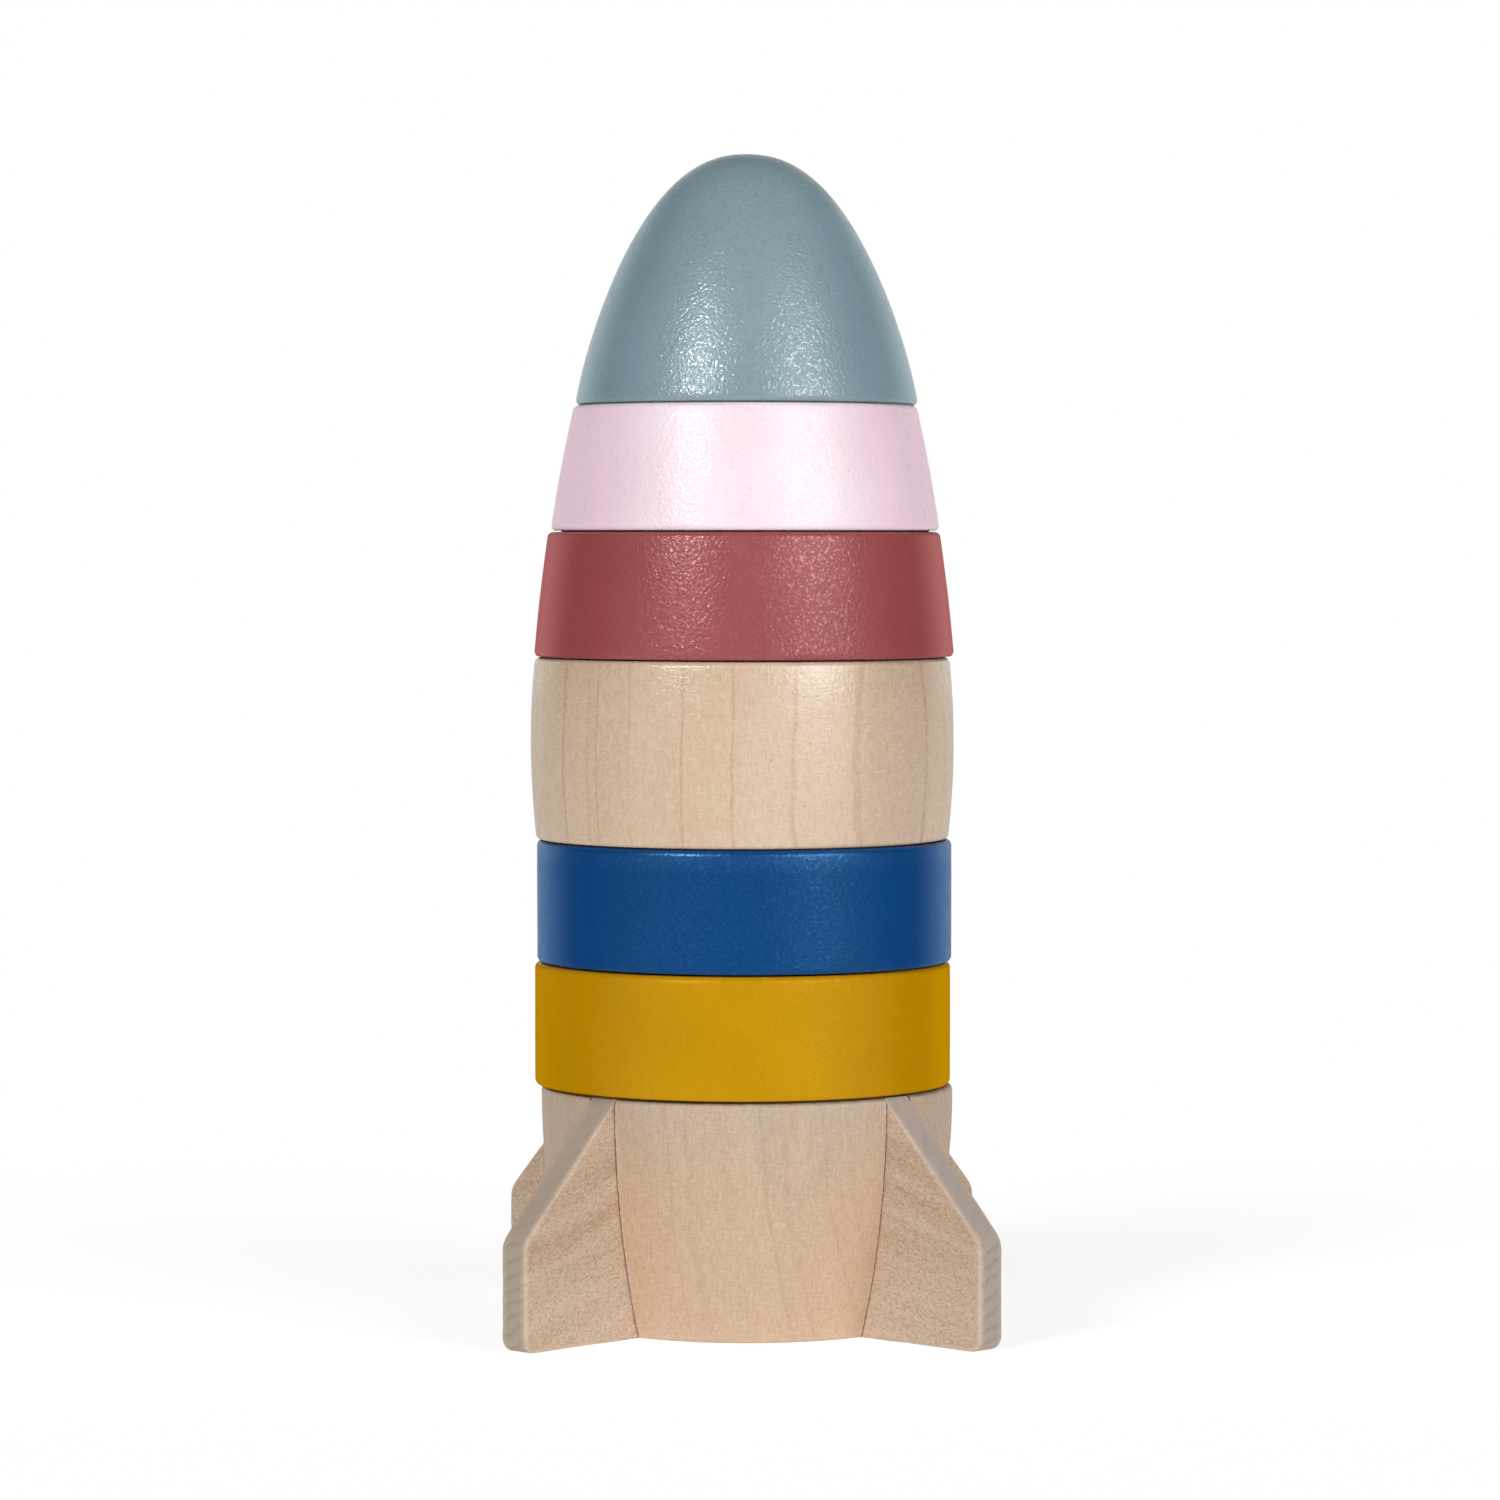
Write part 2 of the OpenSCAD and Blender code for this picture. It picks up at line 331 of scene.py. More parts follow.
def drum_profile():
    """Radius and height of each level of the drum's skin, bottom to top."""
    shoulder = BASE_H - DRUM_TOP_EDGE
    levels = foot_round(drum_radius(DRUM_FOOT_EDGE), DRUM_FOOT_EDGE, DRUM_FOOT_EDGE, 7)
    levels += [(drum_radius(z), z) for z in np.linspace(DRUM_FOOT_EDGE, shoulder, 56)[:-1]]
    levels += bend(drum_radius(shoulder) - DRUM_TOP_EDGE, shoulder, DRUM_TOP_EDGE,
                   math.pi / 2, 9)
    return levels


def slot_wall(r, z, quarter, sign):
    """One slot wall from floor to skin with its unevenly broken corner.

    The points lie in the frame of a sector whose middle is +x; sign picks the slot at +45 or
    -45 degrees.
    """
    slot = math.radians(45 * sign)
    along_x, along_y = math.cos(slot), math.sin(slot)
    inward_x, inward_y = sign * along_y, -sign * along_x    # towards the sector's middle
    probe = np.array([[*rotate_xy(along_x * 40, along_y * 40, quarter), z]])
    broken_edge = wobble(probe + (0, 0, 11.3 * sign), 2.1, 71)[0]
    split = wobble(probe + (0, 0, 17.3 * sign), 0.9, 72)[0]
    chip = max(0.06, 0.13 + 0.07 * broken_edge + 0.10 * max(0.0, split - 0.25))
    if z > BASE_H - 1.5:
        chip = 0.08
    depth = chip * 1.6
    outer = math.sqrt(max(r * r - SLOT_HALF * SLOT_HALF, 0.0))
    points = [(x, SLOT_HALF) for x in np.linspace(SLOT_FLOOR, outer - depth, 9)]
    for turn in (0.33 * math.pi / 2, 0.67 * math.pi / 2):
        points.append((outer - depth * (1 - math.sin(turn)),
                       SLOT_HALF + chip * (1 - math.cos(turn))))
    y = SLOT_HALF + chip
    points.append((math.sqrt(r * r - y * y), y))
    return [(x * along_x + y * inward_x, x * along_y + y * inward_y) for x, y in points]


def drum_outline(r, z):
    """The closed, slotted outline of one level, always with the same number of points."""
    ease = np.linspace(0, 1, 151)[1:-1]
    ease = ease - 0.09 * np.sin(2 * math.pi * ease)         # closer together near the slots
    diagonal = math.sqrt(0.5)
    outline = []
    for quarter in (0, 90, 180, 270):
        first, last = (slot_wall(r, z, quarter, sign) for sign in (-1, 1))
        start = math.atan2(first[-1][1], first[-1][0])
        stop = math.atan2(last[-1][1], last[-1][0])
        angles = start + (stop - start) * ease
        sector = first + [(r * math.cos(a), r * math.sin(a)) for a in angles] + last[::-1]
        for share in (0.33, 0.0, -0.33):                    # floor of the slot at +45 degrees
            across = SLOT_HALF * 2 * share
            sector.append(((SLOT_FLOOR + across) * diagonal, (SLOT_FLOOR - across) * diagonal))
        outline += [(*rotate_xy(x, y, quarter), z) for x, y in sector]
    return outline


def build_base():
    """The turned drum with four full-height slots for the fins and a blind hole for the rod."""
    profile = drum_profile()
    outlines = [drum_outline(r, z) for r, z in profile]
    n = len(outlines[0])
    levels = [list(range(i * n, (i + 1) * n)) for i in range(len(outlines))]
    faces = []
    for low, high in zip(levels[:-1], levels[1:]):
        faces += band(low, high)
    # slight hand-sanded unevenness outside, none at the slot walls or the flat faces
    v = np.array([p for outline in outlines for p in outline], float)
    radius = np.hypot(v[:, 0], v[:, 1])
    skin_r = np.repeat(np.array([r for r, z in profile]), n)
    on_skin = ((radius > skin_r - 0.02) & (v[:, 2] > DRUM_FOOT_EDGE)
               & (v[:, 2] < BASE_H - DRUM_TOP_EDGE))
    push = (0.05 * wobble(v, 15.0, 81) + 0.02 * wobble(v, 5.0, 82)) * on_skin
    v[:, :2] += v[:, :2] / radius[:, None] * push[:, None]
    verts = v.tolist()
    # the rod's hole, from its chamfer down to the floor
    segments = 96
    angles = np.linspace(0, 2 * math.pi, segments, endpoint=False)
    hole_r = ROD_R + 0.05
    stations = [(ROD_R + 0.55, BASE_H), (hole_r, BASE_H - 0.5)]
    stations += [(hole_r, float(z)) for z in np.linspace(BASE_H - 4, ROD_FOOT, 10)]
    hole = []
    for r, z in stations:
        hole.append(list(range(len(verts), len(verts) + segments)))
        verts.extend([(r * math.cos(a), r * math.sin(a), z) for a in angles])
    for upper, lower in zip(hole[:-1], hole[1:]):
        faces += band(upper, lower)
    centre = len(verts)
    verts.append((0.0, 0.0, ROD_FOOT))
    floor_ring = hole[-1]
    faces += [(floor_ring[k], floor_ring[(k + 1) % segments], centre) for k in range(segments)]
    # top face round the hole, and the plain underside
    top, bottom = levels[-1], levels[0]
    triangles = tessellate_polygon([[Vector(verts[i]) for i in top],
                                    [Vector(verts[i]) for i in hole[0]]])
    both = top + hole[0]
    faces += [tuple(both[i] for i in t) for t in triangles]
    triangles = tessellate_polygon([[Vector(verts[i]) for i in bottom]])
    faces += [tuple(bottom[i] for i in t)[::-1] for t in triangles]
    return make_object("base_drum", verts, faces)


# ---------------------------------------------------------------- fins
FIN_COLUMNS = 46
FIN_ROUND_STEPS = 5
FIN_FLAT_STEPS = 5


def fin_outer_edge():
    """(r, z) from the rounded toe, up the edge, round the knee and up the slope."""
    toe, knee, step = 2.6, 4.5, 0.8
    slope = math.atan2(FIN_OUT - FIN_TOP_R, BASE_H - FIN_KNEE_Z)      # lean from upright
    knee_foot = FIN_KNEE_Z - knee * math.tan(slope / 2)
    knee_bend = bend(FIN_OUT - knee, knee_foot, knee, slope, 9)
    path = foot_round(FIN_OUT, toe, toe, 11)
    path += spread((FIN_OUT, toe), (FIN_OUT, knee_foot), step)
    path += knee_bend[:-1]
    path += spread(knee_bend[-1], (FIN_TOP_R, BASE_H), step)
    path.append((FIN_TOP_R, BASE_H))
    return np.array(path)


def fin_broad_face(verts, ring, rows, y):
    """Fills a ring with a grid at y, adding its inner points to verts. Returns the quads."""
    last_col, last_row = FIN_COLUMNS - 1, rows - 1
    closed = ring + ring[:1]
    bottom = closed[:last_col + 1]
    right = closed[last_col:last_col + last_row + 1]
    top = closed[last_col + last_row:2 * last_col + last_row + 1][::-1]
    left = closed[2 * last_col + last_row:][::-1]
    points = np.array(verts)
    b, t, l, r = points[bottom], points[top], points[left], points[right]
    grid = [bottom]
    for i in range(1, last_row):
        fv = (l[i][2] - l[0][2]) / (l[-1][2] - l[0][2])
        row = [left[i]]
        for j in range(1, last_col):
            fu = j / last_col
            point = ((1 - fu) * l[i] + fu * r[i] + (1 - fv) * b[j] + fv * t[j]
                     - ((1 - fu) * (1 - fv) * b[0] + fu * (1 - fv) * b[-1]
                        + (1 - fu) * fv * t[0] + fu * fv * t[-1]))
            point[1] = y
            row.append(len(verts))
            verts.append(point.tolist())
        grid.append(row + [right[i]])
    grid.append(top)
    quads = [(grid[i][j], grid[i][j + 1], grid[i + 1][j + 1], grid[i + 1][j])
             for i in range(last_row) for j in range(last_col)]
    return quads if y < 0 else [q[::-1] for q in quads]


def build_fin(node, angle, seed):
    """A board built along +x and turned into place, with uneven sanded edges."""
    right = fin_outer_edge()
    rows = len(right)
    bottom = np.stack([np.linspace(SLOT_FLOOR, right[0][0], FIN_COLUMNS),
                       np.zeros(FIN_COLUMNS)], 1)
    top = np.stack([np.linspace(SLOT_FLOOR, FIN_TOP_R, FIN_COLUMNS),
                    np.full(FIN_COLUMNS, BASE_H)], 1)
    left = np.stack([np.full(rows, SLOT_FLOOR), right[:, 1]], 1)
    loop = np.concatenate([bottom[:-1], right[:-1], top[::-1][:-1], left[::-1][:-1]])
    # outward normals by finite differences
    along = np.roll(loop, -1, 0) - np.roll(loop, 1, 0)
    along /= np.linalg.norm(along, axis=1)[:, None]
    normal = np.stack([along[:, 1], -along[:, 0]], 1)
    # how far the edge is broken: little where the board meets the drum
    key = np.stack([loop[:, 0], loop[:, 1], np.full(len(loop), seed * 3.7)], 1)
    soft = 0.62 + 0.16 * wobble(key, 5.0, seed) + 0.07 * wobble(key, 1.7, seed + 5)
    soft = 0.10 + (soft - 0.10) * np.clip((loop[:, 0] - 40.4) / 3.5, 0, 1)
    verts, rings = [], []

    def add_ring(inset, y):
        rings.append(list(range(len(verts), len(verts) + len(loop))))
        r = np.maximum(loop[:, 0] - normal[:, 0] * inset, SLOT_FLOOR)
        z = np.clip(loop[:, 1] - normal[:, 1] * inset, 0.0, BASE_H)
        verts.extend(np.stack([r, y, z], 1).tolist())

    def add_rounded_ring(k, side):
        a = math.pi / 2 * k / FIN_ROUND_STEPS
        add_ring(soft * (1 - math.sin(a)), side * (FIN_HALF - soft * (1 - math.cos(a))))

    for k in range(FIN_ROUND_STEPS + 1):
        add_rounded_ring(k, -1)
    for k in range(1, FIN_FLAT_STEPS):
        add_ring(0.0, -(FIN_HALF - soft) * (1 - 2 * (k / FIN_FLAT_STEPS)))
    for k in range(FIN_ROUND_STEPS, -1, -1):
        add_rounded_ring(k, 1)
    faces = []
    for a, b in zip(rings[:-1], rings[1:]):
        for k in range(len(loop)):
            k2 = (k + 1) % len(loop)
            faces.append((a[k], b[k], b[k2], a[k2]))
    faces += fin_broad_face(verts, rings[0], rows, -FIN_HALF)
    faces += fin_broad_face(verts, rings[-1], rows, FIN_HALF)
    v = np.array(verts)
    # faint unevenness, none where the board sits in its slot
    free = np.clip((v[:, 0] - 41.0) / 4.0, 0, 1)
    v[:, 1] += 0.035 * wobble(v, 9.0, seed + 11) * free * np.sign(v[:, 1])
    v[:, 0] += 0.05 * wobble(v, 7.0, seed + 12) * free * (v[:, 0] > 44)
    v[:, 2] = np.clip(v[:, 2], 0.0, BASE_H)
    # broken-edge share for the material: most on the broken edges, none on the faces
    broken_edge = np.zeros(len(v))
    for i, ring in enumerate(rings):
        depth = min(i, len(rings) - 1 - i)
        if depth <= FIN_ROUND_STEPS:
            broken_edge[ring] = 1.0 if depth else 0.6
    placed = np.stack([*rotate_xy(v[:, 0], v[:, 1], angle), v[:, 2]], 1)
    return make_object(node + "_board", placed, faces, 42.0,
                       {"broken_edge": broken_edge, "along": v[:, 0], "across": v[:, 1], "up": v[:, 2]})


# ---------------------------------------------------------------- node and colour helpers
class Graph:
    """Short names for building a node tree."""

    def __init__(self, tree):
        self.tree = tree
        tree.nodes.clear()

    def add(self, kind, **props):
        node = self.tree.nodes.new(kind)
        for key, value in props.items():
            setattr(node, key, value)
        return node

    def put(self, socket, value):
        """Links an output to a socket, or sets the socket's own value."""
        if isinstance(value, bpy.types.NodeSocket):
            self.tree.links.new(value, socket)
        else:
            socket.default_value = value

    def math(self, op, *values):
        node = self.add("ShaderNodeMath", operation=op)
        for socket, value in zip(node.inputs, values):
            self.put(socket, value)
        return node.outputs[0]

    def chain(self, op, terms):
        result = terms[0]
        for term in terms[1:]:
            result = self.math(op, result, term)
        return result

    def mul(self, *terms):
        return self.chain("MULTIPLY", terms)

    def plus(self, *terms):
        return self.chain("ADD", terms)

    def minus(self, a, b):
        return self.math("SUBTRACT", a, b)

    def abs(self, value):
        return self.math("ABSOLUTE", value)

    def sway(self, noise, amount):
        """Noise centred on zero and scaled."""
        return self.mul(self.minus(noise, 0.5), amount)

    def vmath(self, op, a, b=None):
        node = self.add("ShaderNodeVectorMath", operation=op)
        self.put(node.inputs[0], a)
        if b is not None:
            self.put(node.inputs[3 if op == "SCALE" else 1], b)
        return node.outputs["Value" if op in ("DOT_PRODUCT", "LENGTH") else "Vector"]

    def remap(self, value, over, to=(0.0, 1.0), mode="LINEAR"):
        """Clamped map from the range over to the range to."""
        node = self.add("ShaderNodeMapRange", interpolation_type=mode, clamp=True)
        for socket, x in zip(node.inputs, (value, *over, *to)):
            self.put(socket, x)
        return node.outputs[0]

    def smooth(self, value, over, to=(0.0, 1.0)):
        return self.remap(value, over, to, "SMOOTHSTEP")

    def mix(self, factor, a, b, blend="MIX"):
        node = self.add("ShaderNodeMix", data_type="RGBA", blend_type=blend)
        for index, value in ((0, factor), (6, a), (7, b)):
            self.put(node.inputs[index], value)
        return node.outputs[2]

    def tinted(self, colour, ratio):
        return self.mix(1.0, colour, ratio, "MULTIPLY")

    def xyz(self, vector):
        node = self.add("ShaderNodeSeparateXYZ")
        self.put(node.inputs[0], vector)
        return node.outputs

    def vec(self, x, y, z):
        node = self.add("ShaderNodeCombineXYZ")
        for socket, value in zip(node.inputs, (x, y, z)):
            self.put(socket, value)
        return node.outputs[0]

    def stretch(self, parts, x=None, y=None, z=None):
        """A vector from three parts, those with a factor multiplied by it."""
        return self.vec(*(part if factor is None else self.mul(part, factor)
                          for part, factor in zip(parts, (x, y, z))))

    def noise(self, vector, scale, detail=2.0, rough=0.5):
        node = self.add("ShaderNodeTexNoise")
        self.put(node.inputs["Vector"], vector)
        node.inputs["Scale"].default_value = scale
        node.inputs["Detail"].default_value = detail
        node.inputs["Roughness"].default_value = rough
        return node.outputs[0]

    def spots(self, vector, scale, size, chosen, channel=0):
        """Soft round spots in those cells whose random colour channel passes chosen."""
        cell = self.add("ShaderNodeTexVoronoi")
        self.put(cell.inputs["Vector"], vector)
        cell.inputs["Scale"].default_value = scale
        pick = self.xyz(cell.outputs["Color"])[channel]
        return self.mul(self.smooth(cell.outputs["Distance"], over=size, to=(1.0, 0.0)),
                        self.remap(pick, over=chosen))

    def output(self, kind, shader):
        self.put(self.add(kind).inputs["Surface"], shader)


def srgb(r, g, b):
    """8-bit screen colour to scene-linear RGBA."""
    def one(c):
        c = c / 255.0
        return c / 12.92 if c <= 0.04045 else ((c + 0.055) / 1.055) ** 2.4
    return (one(r), one(g), one(b), 1.0)


def shade(colour, factor, lift=0.0):
    """A colour scaled by one factor, or one per channel, and raised by lift."""
    factors = factor if isinstance(factor, tuple) else (factor,) * 3
    return tuple(min(1, c * f + lift) for c, f in zip(colour, factors)) + (1,)


def new_material(name):
    material = bpy.data.materials.new(name)
    material.use_nodes = True
    return material, Graph(material.node_tree)


def object_mm(g):
    """The piece's own coordinates in millimetres."""
    return g.vmath("SCALE", g.add("ShaderNodeTexCoord").outputs["Object"], 1000.0)


def finish_surface(g, colour, rough, height, spec, level=None, tint=None):
    """The surface shader over a relief height; level, if given, drives the specular."""
    bump = g.add("ShaderNodeBump")
    bump.inputs["Strength"].default_value = 1.0
    bump.inputs["Distance"].default_value = 1.0
    g.put(bump.inputs["Height"], height)
    bsdf = g.add("ShaderNodeBsdfPrincipled")
    g.put(bsdf.inputs["Base Color"], colour)
    g.put(bsdf.inputs["Roughness"], rough)
    g.put(bsdf.inputs["Normal"], bump.outputs[0])
    bsdf.inputs["Specular IOR Level"].default_value = spec
    bsdf.inputs["Coat Roughness"].default_value = 0.2
    if level is not None:
        g.put(bsdf.inputs["Specular IOR Level"], level)
    if tint:
        g.put(bsdf.inputs["Specular Tint"], tint)
    g.output("ShaderNodeOutputMaterial", bsdf.outputs[0])


# ---------------------------------------------------------------- satin paint
def film_colour(g, p, parts, fine, colour):
    """Slow drift, faint lengthwise fibres and the sandy grain of the sprayed film."""
    slow = g.noise(p, scale=0.045)
    fibre = g.noise(g.stretch(parts, x=1.0, y=1.0, z=0.07), scale=1.1, detail=3.0, rough=0.6)
    sand = g.noise(p, scale=2.2, rough=0.7)
    col = g.mix(g.remap(slow, over=(0.35, 0.65)), shade(colour, 0.965), shade(colour, 1.035))
    col = g.mix(g.mul(g.remap(fibre, over=(0.42, 0.62)), 0.10), col, shade(colour, 0.80))
    col = g.mix(g.mul(g.remap(fine, over=(0.45, 0.7)), 0.10), col,
                shade(colour, 1.25, lift=0.01))
    col = g.mix(g.remap(sand, over=(0.52, 0.74), to=(0.0, 0.16)), col, shade(colour, 0.70))
    return g.mix(g.remap(sand, over=(0.46, 0.26), to=(0.0, 0.14)), col,
                 shade(colour, 1.30, lift=0.01))


def bare_bore(g, p, parts, x, y, z, foot, bore_top, col):
    """Bare wood in the bore with an uneven edge of overspray. Returns colour and mask."""
    radius = g.vmath("LENGTH", g.vec(x, y, 0.0))
    overspray = g.mul(g.noise(p, scale=0.7), 1.2)
    bare = g.remap(g.plus(radius, overspray), over=(9.55, 9.95), to=(1.0, 0.0))
    deep = g.mul(bare, g.mul(
        g.remap(z, over=(foot + 0.5, foot + 3.0)),
        g.remap(z, over=(bore_top - 3.0, bore_top - 0.5), to=(1.0, 0.0))))
    fibre = g.noise(g.stretch(parts, z=0.05), scale=1.6, detail=3.0, rough=0.6)
    wood = g.mix(g.remap(fibre, over=(0.35, 0.65)), srgb(176, 140, 108), srgb(205, 172, 138))
    return g.mix(g.mul(deep, 0.9), col, wood), deep


def paint(name, node, colour, side, rim, seed, rough, peel, speck_light, speck_dark,
          spec=0.5, side_spec=0.0, tint=None, bore_h=None, under=0.24, crest=None, glint=1.0):
    """Sprayed satin paint over turned wood, with bare wood inside the bore.

    side and rim are painted shading: the colours where the surface turns from the view
    and right at its outline; side_spec is the specular there. peel scales the pebbled
    relief, glint the sparkle. under is the height of the undercut, where a dark thread of
    painted shade sits; crest is (depth, gain) of a brighter upper edge.
    """
    foot, height = SPANS[node]
    top = foot + height
    material, g = new_material(name)
    p = g.vmath("ADD", object_mm(g), (seed * 13.7, seed * 7.9, 0.0))
    x, y, z = g.xyz(object_mm(g))
    parts = g.xyz(p)
    fine = g.noise(p, scale=1.6, detail=3.0, rough=0.6)
    col = film_colour(g, p, parts, fine, colour)
    # dark pits and light specks
    pit = g.spots(p, scale=0.30, size=(0.020, 0.042), chosen=(0.80, 0.805))
    speck = g.spots(g.vmath("ADD", p, (31.0, 17.0, 5.0)), scale=0.45, size=(0.035, 0.07),
                    chosen=(0.82, 0.825))
    col = g.mix(g.mul(pit, speck_dark), col, shade(colour, 0.25))
    col = g.mix(g.mul(speck, speck_light), col, shade(colour, 1.6, lift=0.08))
    # the colour is a little lighter on the two rims
    edges = g.math("MAXIMUM", g.remap(z, over=(foot + 0.15, foot + 1.3), to=(1.0, 0.0)),
                   g.remap(z, over=(top - 1.3, top - 0.15)))
    edges = g.mul(edges, g.remap(g.noise(p, scale=0.8, rough=0.6), over=(0.35, 0.65)))
    col = g.mix(g.mul(edges, 0.16), col, shade(colour, 1.35, lift=0.02))
    # painted shade: a dark thread at the undercut under the lower edge, in the seam between pieces
    seam_shade = g.remap(z, over=(foot + under - 0.02, foot + under + 0.20), to=(0.88, 0.0))
    seam_shade = g.mul(seam_shade, g.remap(z, over=(foot + 0.02, foot + 0.12)))
    col = g.mix(seam_shade, col, shade(colour, 0.12))
    col, deep = bare_bore(g, p, parts, x, y, z, foot, foot + (bore_h or height), col)
    # towards the turn of the surface from the view the colour is painted shade, and the specular
    # drops
    geometry = g.add("ShaderNodeNewGeometry")
    nx, ny, nz = g.xyz(geometry.outputs["Normal"])
    ix, iy, _ = g.xyz(geometry.outputs["Incoming"])
    level_normal = g.vmath("NORMALIZE", g.vec(nx, ny, 0.0))
    level_view = g.vmath("NORMALIZE", g.vec(ix, iy, 0.0))
    facing = g.abs(g.vmath("DOT_PRODUCT", level_normal, level_view))
    turned = g.mul(g.minus(1.0, facing),
                   g.remap(g.abs(nz), over=(0.55, 0.88), to=(1.0, 0.0)))
    aside = g.smooth(turned, over=(0.10, 0.34))
    turn_shade_ratio = tuple(s / max(c, 1e-4) for c, s in zip(colour[:3], side[:3])) + (1,)
    col = g.mix(aside, col, g.tinted(col, turn_shade_ratio))
    # painted shading right at the outline, in the rim colour
    col = g.mix(g.smooth(turned, over=(0.42, 0.80), to=(0.0, 0.9)), col, rim)
    # the film's tiny flats catch the lamps one by one
    flats = g.noise(g.vmath("ADD", p, (7.0, 3.0, 13.0)), scale=1.7, detail=1.0)
    level = g.remap(aside, over=(0.0, 1.0), to=(spec, side_spec))
    level = g.mul(level, g.remap(flats, over=(0.52, 0.67),
                                 to=(1.0 - 0.42 * glint, 1.0 + 1.9 * glint)))
    if crest:
        depth, gain = crest
        lift = g.mul(g.smooth(z, over=(top - depth, top - 0.6), to=(0.0, gain - 1.0)),
                     g.remap(g.abs(nz), over=(0.80, 0.95), to=(1.0, 0.0)))
        level = g.mul(level, g.plus(1.0, lift))
    roughness = g.plus(
        g.remap(g.noise(p, scale=0.35), over=(0.3, 0.7), to=(rough - 0.04, rough + 0.05)),
        g.remap(fine, over=(0.3, 0.7), to=(-0.03, 0.03)),
        g.mul(deep, 0.25))
    # relief, in metres
    pebble = g.noise(p, scale=1.45, rough=0.6)
    grain = g.noise(g.stretch(parts, z=0.10), scale=2.3, rough=0.55)
    relief = g.plus(g.mul(pebble, 0.120e-3 * peel), g.mul(grain, 0.016e-3))
    relief = g.plus(g.minus(relief, g.mul(pit, 0.05e-3)), g.mul(speck, 0.03e-3))
    finish_surface(g, col, roughness, relief, spec, level, tint)
    return material


# ---------------------------------------------------------------- turned, waxed wood
def front_marks(g, col, p, x, y, z, drift, ripple, patches, arcs, uprights):
    """Patches, contours and upright lines that show only on the front."""
    if not (patches or arcs or uprights):
        return col
    front = g.remap(y, over=(-8.0, -16.0))

    def offset(value, middle, reach):
        return g.math("DIVIDE", g.minus(value, middle), reach)

    for cx, cz, half_w, half_h, depth, colour in patches:
        ex = offset(g.plus(x, g.sway(drift, 6.0)), cx, half_w)
        reach = g.vmath("LENGTH", g.vec(ex, offset(z, cz, half_h), 0.0))
        mask = g.smooth(reach, over=(0.55, 1.25), to=(depth, 0.0))
        col = g.mix(g.mul(mask, front), col, colour)
    for cx, cz, rx, rz, half, depth, colour in arcs:
        below = g.math("MINIMUM", offset(z, cz, rz), 0.0)
        reach = g.vmath("LENGTH", g.vec(offset(x, cx, rx), below, 0.0))
        reach = g.plus(reach, g.sway(ripple, 0.25))
        mask = g.smooth(g.abs(g.minus(reach, 1.0)), over=(half * 0.2, half), to=(depth, 0.0))
        col = g.mix(g.mul(mask, front), col, colour)
    for cx, bow, cz, half_h, half, depth, colour in uprights:
        ez = offset(z, cz, half_h)
        line_x = g.plus(cx, g.mul(g.minus(1.0, g.mul(ez, ez)), bow))
        line_x = g.plus(line_x, g.sway(ripple, 0.8))
        mask = g.smooth(g.abs(g.minus(x, line_x)), over=(half * 0.2, half), to=(depth, 0.0))
        broken = g.remap(g.noise(p, scale=0.5, rough=0.6), over=(0.3, 0.6), to=(0.45, 1.0))
        col = g.mix(g.mul(mask, broken, front), col, colour)
    return col


def slot_edges(g, col, p, parts, x, y, z, light):
    """Painted shade on the drum's rim under the ring, pale crumbled fibres along the sawn slots,
    and painted shade in the gaps beside the fins.
    """
    radius = g.vmath("LENGTH", g.vec(x, y, 0.0))
    # painted shade: a dark band on the drum's rim where the yellow ring's edge sits over it
    rim_contact_shade = g.mul(
        g.remap(z, over=(BASE_H - 0.50, BASE_H - 0.20)),
        g.remap(radius, over=(38.0, 38.5)),
        g.remap(g.noise(p, scale=0.6, rough=0.6), over=(0.3, 0.6), to=(0.14, 0.46)))
    col = g.mix(rim_contact_shade, col, srgb(58, 42, 30))
    diagonals = [g.abs(g.mul(g.math(op, x, y), 0.70711)) for op in ("SUBTRACT", "ADD")]
    from_wall = g.minus(g.math("MINIMUM", *diagonals), SLOT_HALF)
    jag = g.noise(g.stretch(parts), scale=1.1, detail=3.0, rough=0.7)
    outside_floor = (SLOT_FLOOR - 0.5, SLOT_FLOOR - 0.1)
    pale = g.mul(g.remap(from_wall, over=(0.25, 0.85), to=(1.0, 0.0)),
                 g.remap(jag, over=(0.46, 0.60)),
                 g.remap(radius, over=outside_floor))
    col = g.mix(g.mul(pale, 0.55), col, shade(light, 1.2))
    # painted shade: a dark, jagged line in the gaps beside the fins
    slot_gap_shade = g.remap(g.plus(from_wall, g.mul(jag, 0.42)), over=(0.26, 0.44), to=(1.0, 0.0))
    slot_gap_shade = g.mul(slot_gap_shade, g.remap(radius, over=outside_floor))
    return g.mix(g.mul(slot_gap_shade, 0.92), col, srgb(46, 32, 24))


